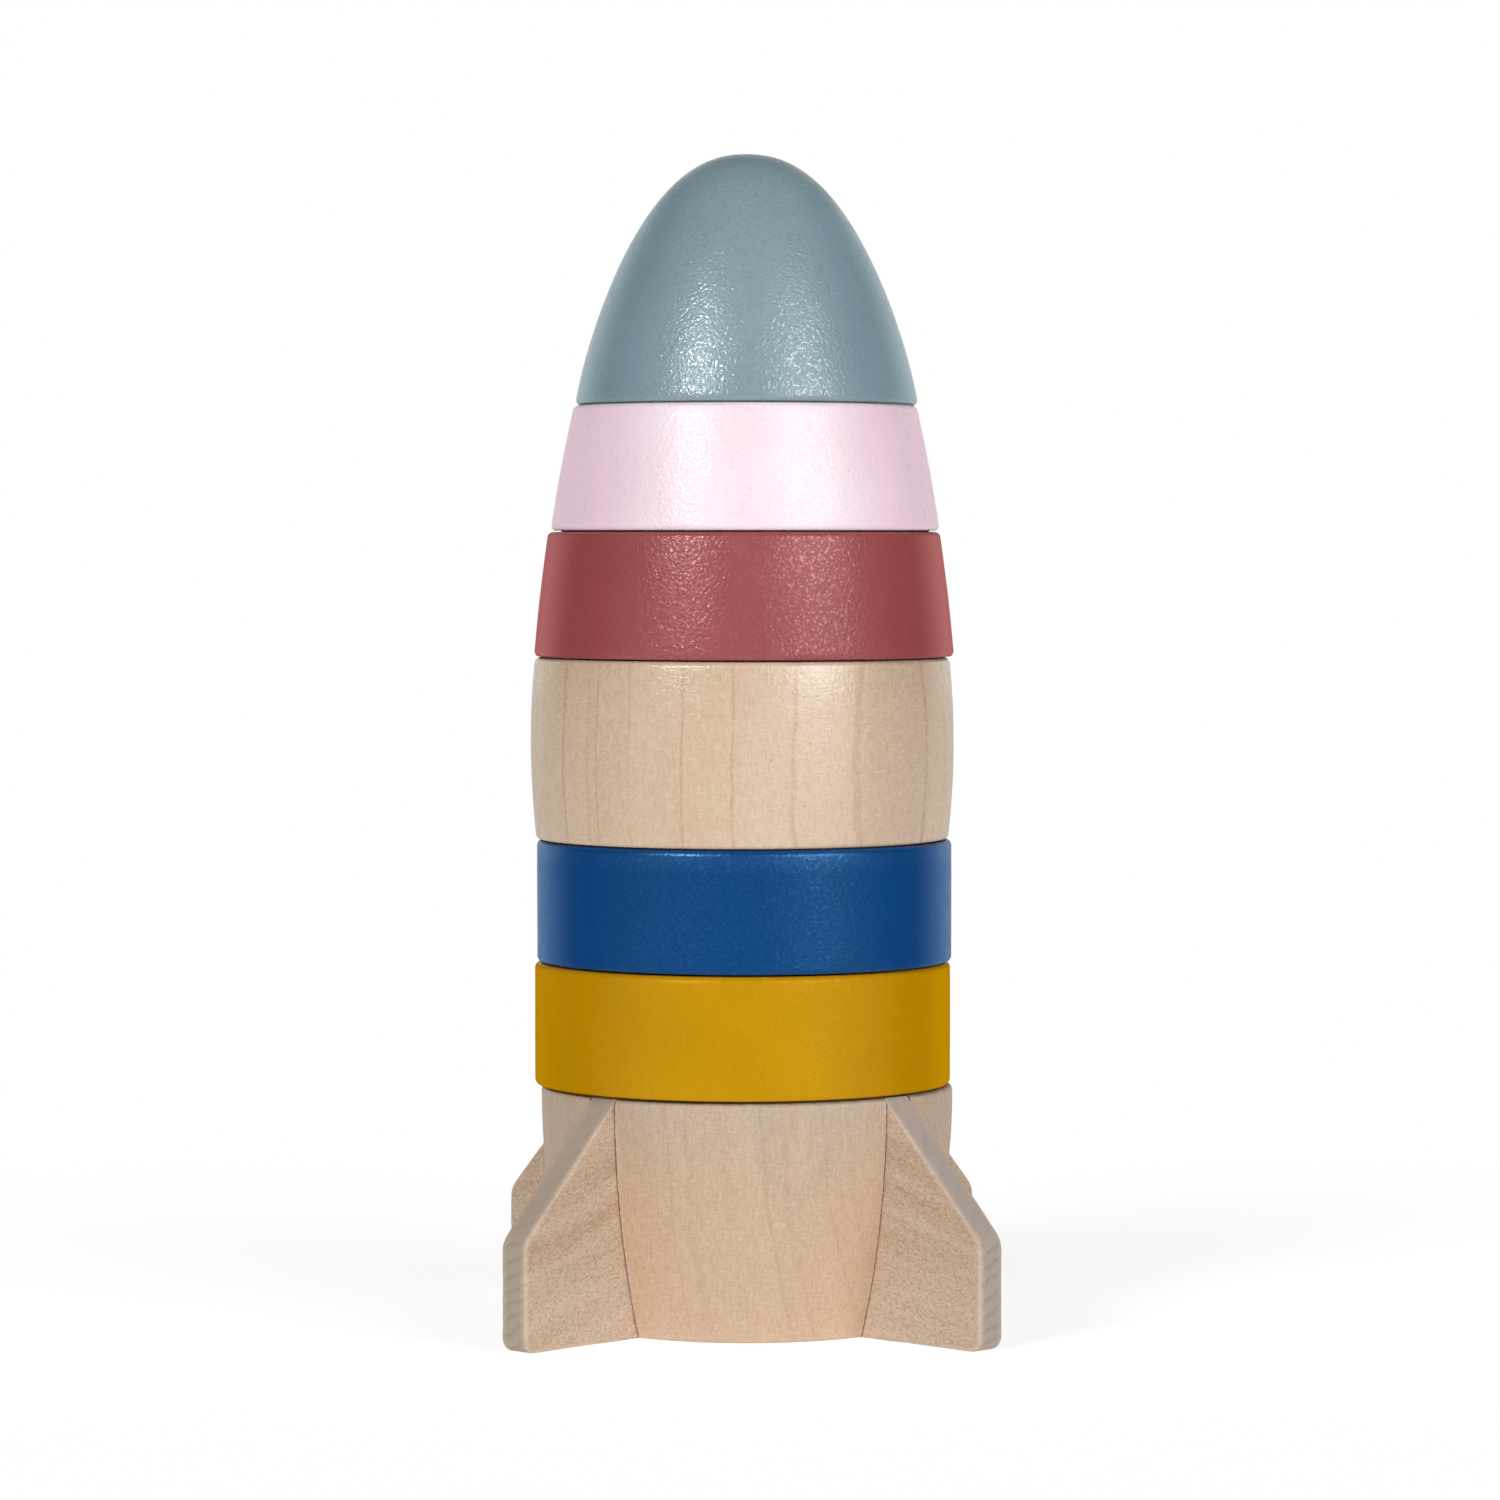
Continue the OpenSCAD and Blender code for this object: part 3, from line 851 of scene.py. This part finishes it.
def turned_wood(name, tone, pith, seed, rough, spec, lines=(), patches=(), arcs=(),
                uprights=(), edges=None, slots=False, top_grey=None, pebble=0.03e-3,
                gloss=None):
    """Clear-waxed pale hardwood with upright grain.

    tone is (mid, light, dark, line) and pith the (x, y) of the tree's heart. edges are the
    heights of the two rims, top_grey (from z, to z, ratio) a cooler upper part, pebble the
    relief in metres, gloss the heights between which the polish sets in. Tables:
    lines: distance from the pith, half width, depth, colour
    patches: x, z, half width, half height, depth, colour
    arcs: x, z, x radius, z radius, relative half width, depth, colour
    uprights: x, bow, z, half height, half width, depth, colour
    """
    material, g = new_material(name)
    q = object_mm(g)
    x, y, z = g.xyz(q)
    p = g.vmath("ADD", q, (seed * 11.3, seed * 5.7, seed * 3.1))
    parts = g.xyz(p)
    pz = parts[2]
    mid, light, dark, line = tone
    # growth layers: distance from the pith, drifting slowly with height
    drift = g.noise(g.stretch(parts, x=0.35, y=0.35), scale=0.035)
    ripple = g.noise(g.stretch(parts, z=0.30), scale=0.30)
    from_pith = g.vmath("LENGTH", g.vec(g.minus(x, pith[0]), g.minus(y, pith[1]), 0.0))
    from_pith = g.plus(from_pith, g.sway(drift, 3.2))
    from_pith = g.plus(from_pith, g.sway(ripple, 0.55))
    # broad, soft tone changes between layers
    layer = g.noise(g.vec(g.mul(from_pith, 0.16), g.mul(pz, 0.004), seed),
                    scale=1.0, detail=3.0, rough=0.6)
    col = g.mix(g.remap(layer, over=(0.32, 0.70)), dark, light)
    blot = g.noise(g.stretch(parts, z=0.55), scale=0.055, detail=3.0, rough=0.55)
    col = g.mix(g.remap(blot, over=(0.25, 0.65), to=(0.35, 0.9)), col, mid)
    # fine late-wood lines through the whole piece
    fine_line = g.noise(g.vec(g.mul(from_pith, 1.3), g.mul(pz, 0.012), seed * 2),
                        scale=1.0, rough=0.7)
    col = g.mix(g.remap(fine_line, over=(0.55, 0.80), to=(0.0, 0.14)), col, line)
    col = front_marks(g, col, p, x, y, z, drift, ripple, patches, arcs, uprights)
    for distance, half, depth, colour in lines:
        off = g.abs(g.minus(from_pith, distance))
        mask = g.smooth(off, over=(half * 0.25, half * 1.25), to=(1.0, 0.0))
        col = g.mix(g.mul(mask, depth), col, colour)
    # fibres drawn out along the grain
    fibre = g.noise(g.stretch(parts, z=0.045), scale=1.5, detail=4.0, rough=0.65)
    col = g.mix(g.remap(fibre, over=(0.40, 0.68), to=(0.0, 0.16)), col, dark)
    fine_fibre = g.noise(g.stretch(parts, z=0.09), scale=4.2, rough=0.6)
    col = g.mix(g.remap(fine_fibre, over=(0.50, 0.72), to=(0.0, 0.18)), col, line)
    # close weave of rays across the grain and fibres along it
    weaves = [g.noise(g.stretch(parts, x=0.7, y=0.7, z=2.7), scale=0.95, rough=0.7),
              g.noise(g.stretch(parts, x=2.2, y=2.2, z=0.5), scale=1.0, rough=0.7)]
    for weave in weaves:
        col = g.mix(g.remap(weave, over=(0.52, 0.72), to=(0.0, 0.32)), col, line)
        col = g.mix(g.remap(weave, over=(0.48, 0.28), to=(0.0, 0.48)), col,
                    shade(light, 1.10))
    fleck = g.noise(g.stretch(parts, x=1.0, y=1.0, z=0.42), scale=2.6, rough=0.6)
    col = g.mix(g.remap(fleck, over=(0.60, 0.74), to=(0.0, 0.30)), col, light)
    pore = g.spots(g.stretch(parts, z=0.22), scale=1.35, size=(0.07, 0.16),
                   chosen=(0.80, 0.82), channel=1)
    col = g.mix(g.mul(pore, 0.38), col, shade(line, 0.55))
    # relief, in metres
    relief = g.plus(g.mul(fine_fibre, 0.022e-3), g.mul(fibre, 0.016e-3),
                    g.mul(g.noise(p, scale=1.4, rough=0.6), pebble))
    relief = g.minus(relief, g.mul(pore, 0.04e-3))
    relief = g.plus(relief, *(g.mul(weave, 0.030e-3) for weave in weaves))
    if top_grey:
        low, high, ratio = top_grey
        col = g.mix(g.smooth(z, over=(low, high)), col, g.tinted(col, ratio))
    if edges:
        # the colour is lighter on the two rims
        low, high = edges
        rim = g.math("MAXIMUM", g.remap(z, over=(low, low + 1.3), to=(1.0, 0.0)),
                     g.remap(z, over=(high - 1.4, high)))
        rim = g.mul(rim, g.remap(g.noise(p, scale=0.7, rough=0.6), over=(0.3, 0.7),
                                 to=(0.4, 1.0)))
        col = g.mix(g.mul(rim, 0.25), col, shade(light, 1.12))
    if slots:
        col = slot_edges(g, col, p, parts, x, y, z, light)
    # end grain on the flat faces reads darker and duller
    normal = g.add("ShaderNodeNewGeometry").outputs["Normal"]
    end = g.remap(g.abs(g.xyz(normal)[2]), over=(0.86, 0.99))
    col = g.mix(g.mul(end, 0.18), col, shade(mid, 0.72))
    roughness = g.plus(
        g.remap(g.noise(p, scale=0.5), over=(0.3, 0.7), to=(rough - 0.05, rough + 0.06)),
        g.remap(fine_fibre, over=(0.35, 0.65), to=(-0.04, 0.05)),
        g.mul(end, 0.14))
    level = None
    if gloss:
        polish = g.mul(g.smooth(z, over=gloss),
                       g.remap(g.noise(p, scale=0.10, rough=0.6), over=(0.36, 0.60),
                               to=(0.35, 1.0)))
        roughness = g.minus(roughness, g.mul(polish, 0.09))
        level = g.remap(polish, over=(0.0, 1.0), to=(spec, 1.0))
    finish_surface(g, col, roughness, relief, spec, level)
    return material


# ---------------------------------------------------------------- fin boards
def board_end_grain(g, grain, saw, tone, cool, slope):
    """The cut ends: greyer and duller, with the layers plainer."""
    mid, _, dark, _ = tone
    normal = g.add("ShaderNodeNewGeometry").outputs["Normal"]
    leaning = g.smooth(g.xyz(normal)[2], over=(0.25, 0.6))
    layers = g.mul(g.remap(saw, over=(0.50, 0.97)),
                   g.remap(leaning, over=(0.0, 1.0), to=(0.75, 0.22)))
    col = g.mix(layers, shade(mid, 0.90), shade(dark, 0.66))
    fibre = g.noise(g.stretch(grain, x=0.9), scale=3.2, rough=0.6)
    col = g.mix(g.remap(fibre, over=(0.45, 0.68), to=(0.0, 0.35)), col, shade(dark, 0.72))
    col = g.mix(0.35, col, (0.42, 0.385, 0.33, 1.0))
    col = g.tinted(col, tuple(k * c for k, c in zip((0.93, 1.0, 1.05), cool)) + (1,))
    return g.mix(leaning, col, g.tinted(col, slope + (1,)))


def board_wood(name, tone, seed, lean, layer_deg, spacing=2.6, cool=(1.0, 1.0, 1.0),
               slope=(1.1, 1.05, 1.04)):
    """Board whose grain runs outwards and down a little, with layered end grain on its edges.

    lean is the grain's fall and layer_deg the layers' tilt in degrees, spacing their pitch in
    mm; cool and slope tint the end grain everywhere and on the slope.
    """
    rough = 0.55
    material, g = new_material(name)
    along, across, up, broken_edge = (
        g.add("ShaderNodeAttribute", attribute_name=key).outputs["Fac"]
        for key in ("along", "across", "up", "broken_edge"))
    mid, light, dark, line = tone
    # u runs along the grain, v across it in the board's plane
    c, s = math.cos(math.radians(lean)), math.sin(math.radians(lean))
    u = g.minus(g.mul(along, c), g.mul(up, s))
    v = g.plus(g.mul(along, s), g.mul(up, c), seed * 9.0)
    grain = (u, v, across)
    warp = g.noise(g.stretch(grain, x=0.5), scale=0.07)
    tilt = math.radians(layer_deg)
    w = g.plus(g.mul(v, math.cos(tilt)), g.mul(across, math.sin(tilt)), g.sway(warp, 6.0))
    layer = g.noise(g.vec(g.mul(w, 0.75 / spacing), g.mul(u, 0.006), seed),
                    scale=1.0, detail=3.0, rough=0.65)
    col = g.mix(g.remap(layer, over=(0.33, 0.68)), dark, light)
    saw = g.math("FRACT", g.math("DIVIDE", w, spacing))
    faint = g.noise(g.vec(w, g.mul(u, 0.05), across), scale=0.35)
    late = g.mul(g.remap(saw, over=(0.72, 0.97)), g.remap(faint, over=(0.35, 0.65)))
    col = g.mix(g.mul(late, 0.28), col, line)
    blot = g.noise(g.stretch(grain, x=0.5), scale=0.10, detail=3.0, rough=0.6)
    col = g.mix(g.remap(blot, over=(0.30, 0.70), to=(0.0, 0.7)), col, mid)
    # paler towards the foot
    low = g.smooth(up, over=(20.0, 6.0), to=(0.0, 0.45))
    col = g.mix(low, col, shade(light, (1.0, 1.02, 1.06)))
    # fibres and short pores drawn out along the grain
    fibre = g.noise(g.stretch(grain, x=0.52), scale=2.6, detail=3.0, rough=0.72)
    col = g.mix(g.remap(fibre, over=(0.50, 0.68), to=(0.0, 0.60)), col, line)
    col = g.mix(g.remap(fibre, over=(0.48, 0.30), to=(0.0, 0.80)), col, shade(light, 1.08))
    pore = g.spots(g.stretch(grain, x=0.50), scale=2.3, size=(0.10, 0.24),
                   chosen=(0.62, 0.66))
    col = g.mix(g.mul(pore, 0.42), col, shade(line, 0.62))
    # anything between the broad faces is an edge
    edge = g.remap(g.abs(across), over=(FIN_HALF - 0.75, FIN_HALF - 0.15), to=(1.0, 0.0))
    col = g.mix(g.mul(edge, 0.85), col, board_end_grain(g, grain, saw, tone, cool, slope))
    # the broken edges are paler and a little ragged
    ragged = g.noise(g.stretch(grain), scale=0.9, detail=3.0, rough=0.7)
    pale_edge = g.mul(g.remap(broken_edge, over=(0.15, 0.85)),
                 g.remap(ragged, over=(0.32, 0.60), to=(0.25, 1.0)))
    col = g.mix(g.mul(pale_edge, 0.50), col, shade(light, (1.02, 1.06, 1.12)))
    # relief, in metres
    relief = g.plus(g.mul(fibre, 0.050e-3),
                    g.mul(g.noise(g.stretch(grain), scale=2.4, rough=0.6), 0.030e-3))
    relief = g.minus(relief, g.mul(pore, 0.06e-3))
    roughness = g.plus(g.remap(g.noise(g.stretch(grain), scale=0.5), over=(0.3, 0.7),
                               to=(rough - 0.04, rough + 0.08)),
                       g.mul(edge, 0.08))
    finish_surface(g, col, roughness, relief, spec=0.35)
    return material


# ---------------------------------------------------------------- the pieces
objects = {node: build_ring(node) for node in RINGS}
objects["nose_cone"] = build_nose()
objects["base_body"] = build_base()
objects["centre_rod"] = build_rod()
for node, (angle, seed) in FINS.items():
    objects[node] = build_fin(node, angle, seed)
for node, play in PLAY.items():
    objects[node].data.transform(Matrix.Translation((play * MM, 0.0, 0.0)))


# ---------------------------------------------------------------- the materials
def pith_lines(centre, radius, marks):
    """Growth lines from where they cross the front of a turned piece.

    marks: x, half width, depth, colour.
    """
    lines = []
    for x, half, depth, colour in marks:
        y = -math.sqrt(max(radius * radius - x * x, 0.0))
        dx, dy = x - centre[0], y - centre[1]
        distance = math.hypot(dx, dy)
        # how fast the distance from the pith changes along the surface
        rate = abs(dx * y - dy * x) / (distance * radius)
        lines.append((distance, half * max(rate, 0.12), depth, colour))
    return lines


# each paint's side and rim colours are painted shading at the turn and at the outline
yellow_paint = paint(
    "paint_yellow_satin", "yellow_ring", srgb(196, 144, 8), side=srgb(194, 140, 4),
    rim=srgb(215, 157, 5), seed=1, rough=0.35, peel=0.9, speck_light=0.15, speck_dark=0.5,
    tint=(1.0, 0.62, 0.10, 1), under=0.42, glint=0.35)
blue_paint = paint(
    "paint_blue_satin", "blue_ring", srgb(6, 63, 119), side=srgb(5, 67, 127),
    rim=srgb(54, 114, 172), seed=2, rough=0.33, peel=0.75, speck_light=0.3, speck_dark=0.4,
    spec=0.60, side_spec=0.05, tint=(0.20, 0.55, 1.0, 1), under=0.33, crest=(5.0, 2.5),
    glint=0.35)
red_paint = paint(
    "paint_red_satin", "red_ring", srgb(159, 83, 84), side=srgb(157, 76, 77),
    rim=srgb(207, 124, 124), seed=3, rough=0.26, peel=1.15, speck_light=0.3, speck_dark=0.4,
    spec=0.47, tint=(1.0, 0.62, 0.62, 1), crest=(15.0, 1.30), glint=0.8)
pink_paint = paint(
    "paint_pink_satin", "pink_ring", srgb(255, 232, 242), side=srgb(255, 220, 237),
    rim=srgb(255, 218, 235), seed=4, rough=0.30, peel=1.0, speck_light=0.2, speck_dark=0.7,
    side_spec=0.15, glint=0.6)
grey_paint = paint(
    "paint_grey_satin", "nose_cone", srgb(137, 162, 170), side=srgb(130, 156, 166),
    rim=srgb(150, 184, 194), seed=5, rough=0.21, peel=1.25, speck_light=0.35,
    speck_dark=0.35, spec=0.62, side_spec=0.2, bore_h=NOSE_BORE_H, glint=0.9)

# wood tones: mid, light, dark, line
RING_TONE = (srgb(217, 190, 161), srgb(224, 199, 171), srgb(208, 179, 150), srgb(192, 156, 127))
BASE_TONE = (srgb(205, 177, 149), srgb(213, 187, 160), srgb(195, 163, 134), srgb(178, 141, 112))
FIN_TONE = (srgb(201, 175, 151), srgb(211, 189, 166), srgb(184, 154, 129), srgb(152, 118, 92))
ROD_TONE = (srgb(214, 184, 150), srgb(224, 197, 163), srgb(200, 166, 132), srgb(178, 142, 108))

RING_PITH = (-62.0, 22.0)
# x on the front, half width, depth, colour
RING_MARKS = [
    (-38.1, 0.30, 0.30, srgb(170, 138, 114)),
    (-34.2, 0.26, 0.65, srgb(172, 126, 104)),
    (-28.1, 0.26, 0.45, srgb(178, 138, 110)),
    (-22.3, 0.40, 0.20, srgb(182, 146, 118)),
    (-12.6, 0.32, 0.42, srgb(178, 128, 102)),
    (-3.4, 0.34, 0.40, srgb(180, 134, 98)),
    (7.8, 0.60, 0.36, srgb(186, 136, 110)),
    (19.2, 1.00, 0.42, srgb(188, 146, 122)),
]
# further lines: distance from the pith, half width, depth, colour
RING_BACK = [
    (29.5, 0.20, 0.34, srgb(176, 134, 108)),
    (38.0, 0.30, 0.26, srgb(182, 144, 116)),
    (44.5, 0.22, 0.30, srgb(178, 136, 110)),
    (52.0, 0.45, 0.22, srgb(184, 146, 122)),
    (59.0, 0.25, 0.30, srgb(176, 138, 112)),
]
ring_foot, ring_height = SPANS["natural_ring"]
ring_top = ring_foot + ring_height
ring_wood = turned_wood(
    "wood_ring_waxed", RING_TONE, RING_PITH, seed=1.0, rough=0.30, spec=0.75,
    lines=pith_lines(RING_PITH, 40.4, RING_MARKS) + RING_BACK,
    edges=(ring_foot, ring_top), pebble=0.085e-3, gloss=(ring_top - 11.0, ring_top - 3.0),
    # the first patch is paler wood and a painted sheen where the right lamp's highlight falls on
    # the front
    patches=[(8.5, ring_foot + 18, 12.5, 40.0, 0.50, srgb(226, 202, 181)),
             (26.5, ring_foot + 18, 6.5, 40.0, 0.42, srgb(197, 170, 154))],
    uprights=[(32.4, 1.1, ring_foot + 17, 17.0, 0.42, 0.55, srgb(158, 132, 116)),
              (36.6, 0.8, ring_foot + 17, 17.0, 0.35, 0.30, srgb(170, 146, 130))])

BASE_PITH = (-70.0, 35.0)
# x on the front, half width, depth, colour
BASE_MARKS = [
    (-14.0, 0.40, 0.26, srgb(178, 144, 118)),
    (-10.5, 1.10, 0.20, srgb(184, 150, 124)),
    (4.5, 0.50, 0.28, srgb(172, 142, 124)),
    (8.6, 0.90, 0.24, srgb(182, 152, 134)),
    (17.0, 0.45, 0.22, srgb(178, 146, 120)),
    (22.5, 0.90, 0.20, srgb(184, 152, 124)),
]
# further lines: distance from the pith, half width, depth, colour
BASE_BACK = [
    (38.0, 0.30, 0.22, srgb(176, 144, 120)),
    (47.0, 0.45, 0.20, srgb(180, 148, 126)),
    (56.5, 0.30, 0.24, srgb(174, 142, 120)),
    (66.0, 0.50, 0.16, srgb(182, 150, 128)),
]
base_wood = turned_wood(
    "wood_base_waxed", BASE_TONE, BASE_PITH, seed=2.0, rough=0.5, spec=0.45,
    lines=pith_lines(BASE_PITH, 37.0, BASE_MARKS) + BASE_BACK,
    edges=(0.0, BASE_H), slots=True, pebble=0.05e-3,
    top_grey=(26.0, 44.0, (0.93, 0.99, 1.06, 1.0)),
    patches=[(-4.0, 4.0, 16.0, 14.0, 0.55, srgb(199, 174, 151)),
             (19.0, 20.0, 6.0, 22.0, 0.35, srgb(210, 181, 156))],
    arcs=[(8.0, 38.0, 6.5, 10.5, 0.28, 0.22, srgb(178, 162, 156)),
          (7.5, 35.0, 3.6, 5.6, 0.35, 0.15, srgb(184, 168, 162))])
rod_wood = turned_wood("wood_rod_waxed", ROD_TONE, pith=(-30.0, 60.0), seed=3.0, rough=0.5,
                       spec=0.35)
fin_woods = {
    "fin_front_left": board_wood("wood_fin_a", FIN_TONE, seed=1.0, lean=17.0,
                                 layer_deg=-28.0, spacing=2.3),
    "fin_front_right": board_wood("wood_fin_b", FIN_TONE, seed=2.0, lean=15.0,
                                  layer_deg=-26.0, spacing=2.5, cool=(1.0, 1.0, 1.11),
                                  slope=(1.13, 1.14, 1.16)),
    "fin_back_right": board_wood("wood_fin_c", FIN_TONE, seed=3.0, lean=12.0,
                                 layer_deg=30.0),
    "fin_back_left": board_wood("wood_fin_d", FIN_TONE, seed=4.0, lean=18.0,
                                layer_deg=-34.0),
}


# ---------------------------------------------------------------- bodies and slots
def place(node, body, material):
    obj = objects[node]
    obj.data.materials.clear()
    obj.data.materials.append(material)
    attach(obj, body)
    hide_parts(node)


place("yellow_ring", "yellow_ring", yellow_paint)
place("blue_ring", "blue_ring", blue_paint)
place("natural_ring", "natural_ring", ring_wood)
place("red_ring", "red_ring", red_paint)
place("pink_ring", "pink_ring", pink_paint)
place("nose_cone", "nose_cone", grey_paint)
place("base_body", "base", base_wood)
place("centre_rod", "base", rod_wood)
for node, wood in fin_woods.items():
    place(node, "base", wood)


# ---------------------------------------------------------------- camera, in metres
CAM_AZIMUTH = math.radians(-1.4)
CAM_PITCH = math.radians(2.2814)
CAM_DISTANCE, CAM_ASIDE, CAM_HEIGHT = 1.0554, 0.0006, 0.1523
LIFT_MAX = 0.541                    # the nose cone's highest lift
STEP_BACK, STEP_UP = 2.54, 0.374    # how far the camera moves at that lift


def build_camera():
    back = Vector((math.sin(CAM_AZIMUTH), -math.cos(CAM_AZIMUTH), 0.0))
    right = Vector((math.cos(CAM_AZIMUTH), math.sin(CAM_AZIMUTH), 0.0))
    data = bpy.data.cameras.new("camera")
    data.lens = 131.30
    data.sensor_width = 36.0
    data.clip_start, data.clip_end = 0.05, 60.0
    camera = bpy.data.objects.new("camera", data)
    scene.collection.objects.link(camera)
    look = (-back * math.cos(CAM_PITCH) + Vector((0, 0, -math.sin(CAM_PITCH)))).normalized()
    camera.rotation_mode = "QUATERNION"
    camera.rotation_quaternion = look.to_track_quat("-Z", "Y")
    camera.location = back * CAM_DISTANCE + right * CAM_ASIDE + Vector((0, 0, CAM_HEIGHT))
    scene.camera = camera
    # the camera steps back when the pieces are lifted, so that every pose fits in the picture
    follow = camera.constraints.new("TRANSFORM")
    follow.name = "step_back_for_poses"
    follow.target = frame["bodies"]["nose_cone"]
    follow.target_space = follow.owner_space = "WORLD"
    follow.map_from = follow.map_to = "LOCATION"
    follow.from_min_z, follow.from_max_z = 0.0, LIFT_MAX
    follow.map_to_x_from = follow.map_to_y_from = follow.map_to_z_from = "Z"
    far = back * STEP_BACK
    follow.to_min_x, follow.to_max_x = 0.0, far.x
    follow.to_min_y, follow.to_max_y = 0.0, far.y
    follow.to_min_z, follow.to_max_z = 0.0, STEP_UP
    follow.mix_mode = "ADD"
    return camera


# ---------------------------------------------------------------- studio, turning with the camera
def build_rig(camera):
    rig = bpy.data.objects.new("light_rig", None)
    scene.collection.objects.link(rig)
    turn = rig.constraints.new("LOCKED_TRACK")
    turn.target = camera
    turn.track_axis = "TRACK_NEGATIVE_Y"
    turn.lock_axis = "LOCK_Z"
    return rig


def build_world(rig):
    """A bright sweep behind the toy and near darkness elsewhere; the camera sees white."""
    world = bpy.data.worlds.new("studio")
    scene.world = world
    world.use_nodes = True
    g = Graph(world.node_tree)
    coord = g.add("ShaderNodeTexCoord")
    coord.object = rig
    x, y, z = g.xyz(g.vmath("NORMALIZE", coord.outputs["Object"]))
    to_degrees = 180 / math.pi
    azimuth = g.mul(g.math("ARCTAN2", x, g.mul(y, -1.0)), to_degrees)
    elevation = g.mul(g.math("ARCSINE", z), to_degrees)
    sweep = g.mul(g.smooth(g.abs(azimuth), over=(124.4, 134.4), to=(0.0, 0.84)),
                  g.smooth(elevation, over=(10.0, 45.0), to=(1.0, 0.0)))
    total = g.plus(sweep, 0.016)
    seen = g.add("ShaderNodeLightPath").outputs["Is Camera Ray"]
    background = g.add("ShaderNodeBackground")
    background.inputs["Color"].default_value = (1, 1, 1, 1)
    g.put(background.inputs["Strength"], g.plus(g.mul(total, g.minus(1.0, seen)), seen))
    g.output("ShaderNodeOutputWorld", background.outputs[0])


def softlight(name, rig, azimuth, elevation, spread_deg, power):
    """A round soft source far away, so that lifted pieces are lit as the standing ones are."""
    data = bpy.data.lights.new(name, "SUN")
    data.energy = power
    data.angle = math.radians(spread_deg)
    lamp = bpy.data.objects.new(name, data)
    scene.collection.objects.link(lamp)
    a, e = math.radians(azimuth), math.radians(elevation)
    toward = Vector((math.sin(a) * math.cos(e), -math.cos(a) * math.cos(e), math.sin(e)))
    lamp.rotation_mode = "QUATERNION"
    lamp.rotation_quaternion = (-toward).to_track_quat("-Z", "Y")
    lamp.location = toward * 1.5
    lamp.parent = rig


light_rig = build_rig(build_camera())
build_world(light_rig)
softlight("key_soft", light_rig, azimuth=-35.0, elevation=26.3, spread_deg=15.8, power=1.517)
softlight("fill_soft", light_rig, azimuth=41.3, elevation=20.1, spread_deg=37.7, power=1.529)


# ---------------------------------------------------------------- floor
def floor_material():
    """Pale near the toy, fading into the white surround, and clear when seen from below."""
    material, g = new_material("floor_pale")
    distance = g.vmath("LENGTH", object_mm(g))
    fade = g.smooth(distance, over=(60.0, 330.0))
    seen = g.add("ShaderNodeLightPath").outputs["Is Camera Ray"]

    def mix_shader(factor, a, b):
        node = g.add("ShaderNodeMixShader")
        for socket, value in zip(node.inputs, (factor, a, b)):
            g.put(socket, value)
        return node.outputs[0]

    def white_glow():
        node = g.add("ShaderNodeEmission")
        node.inputs["Color"].default_value = (1, 1, 1, 1)
        return node

    # the camera sees a paler floor than the one that bounces light
    diffuse = g.add("ShaderNodeBsdfDiffuse")
    g.put(diffuse.inputs["Color"], g.mix(seen, (0.80, 0.80, 0.80, 1.0), (0.42, 0.42, 0.42, 1.0)))
    glow = white_glow()
    g.put(glow.inputs["Strength"], g.plus(0.35, g.mul(seen, 0.46)))
    lit = g.add("ShaderNodeAddShader")
    g.put(lit.inputs[0], diffuse.outputs[0])
    g.put(lit.inputs[1], glow.outputs[0])
    faded = mix_shader(g.mul(fade, seen), lit.outputs[0], white_glow().outputs[0])
    from_below = g.mul(g.add("ShaderNodeNewGeometry").outputs["Backfacing"], seen)
    clear = g.add("ShaderNodeBsdfTransparent").outputs[0]
    g.output("ShaderNodeOutputMaterial", mix_shader(from_below, faded, clear))
    return material


def build_floor():
    """A disc of concentric rings, just below z = 0."""
    segments = 160
    drop = 0.00002                                              # metres
    radii = (60, 120, 240, 480, 960, 2000, 4000, 9000)          # mm
    angles = np.linspace(0, 2 * math.pi, segments, endpoint=False)
    verts = [(0.0, 0.0, -drop)]
    for r in radii:
        verts += [(r * math.cos(a) * MM, r * math.sin(a) * MM, -drop) for a in angles]
    rings = [list(range(1 + i * segments, 1 + (i + 1) * segments)) for i in range(len(radii))]
    faces = [(0, 1 + k, 1 + (k + 1) % segments) for k in range(segments)]
    for inner, outer in zip(rings[:-1], rings[1:]):
        faces += [(inner[k], outer[k], outer[(k + 1) % segments], inner[(k + 1) % segments])
                  for k in range(segments)]
    mesh = bpy.data.meshes.new("floor")
    mesh.from_pydata(verts, [], faces)
    floor = bpy.data.objects.new("floor", mesh)
    scene.collection.objects.link(floor)
    mesh.materials.append(floor_material())


build_floor()
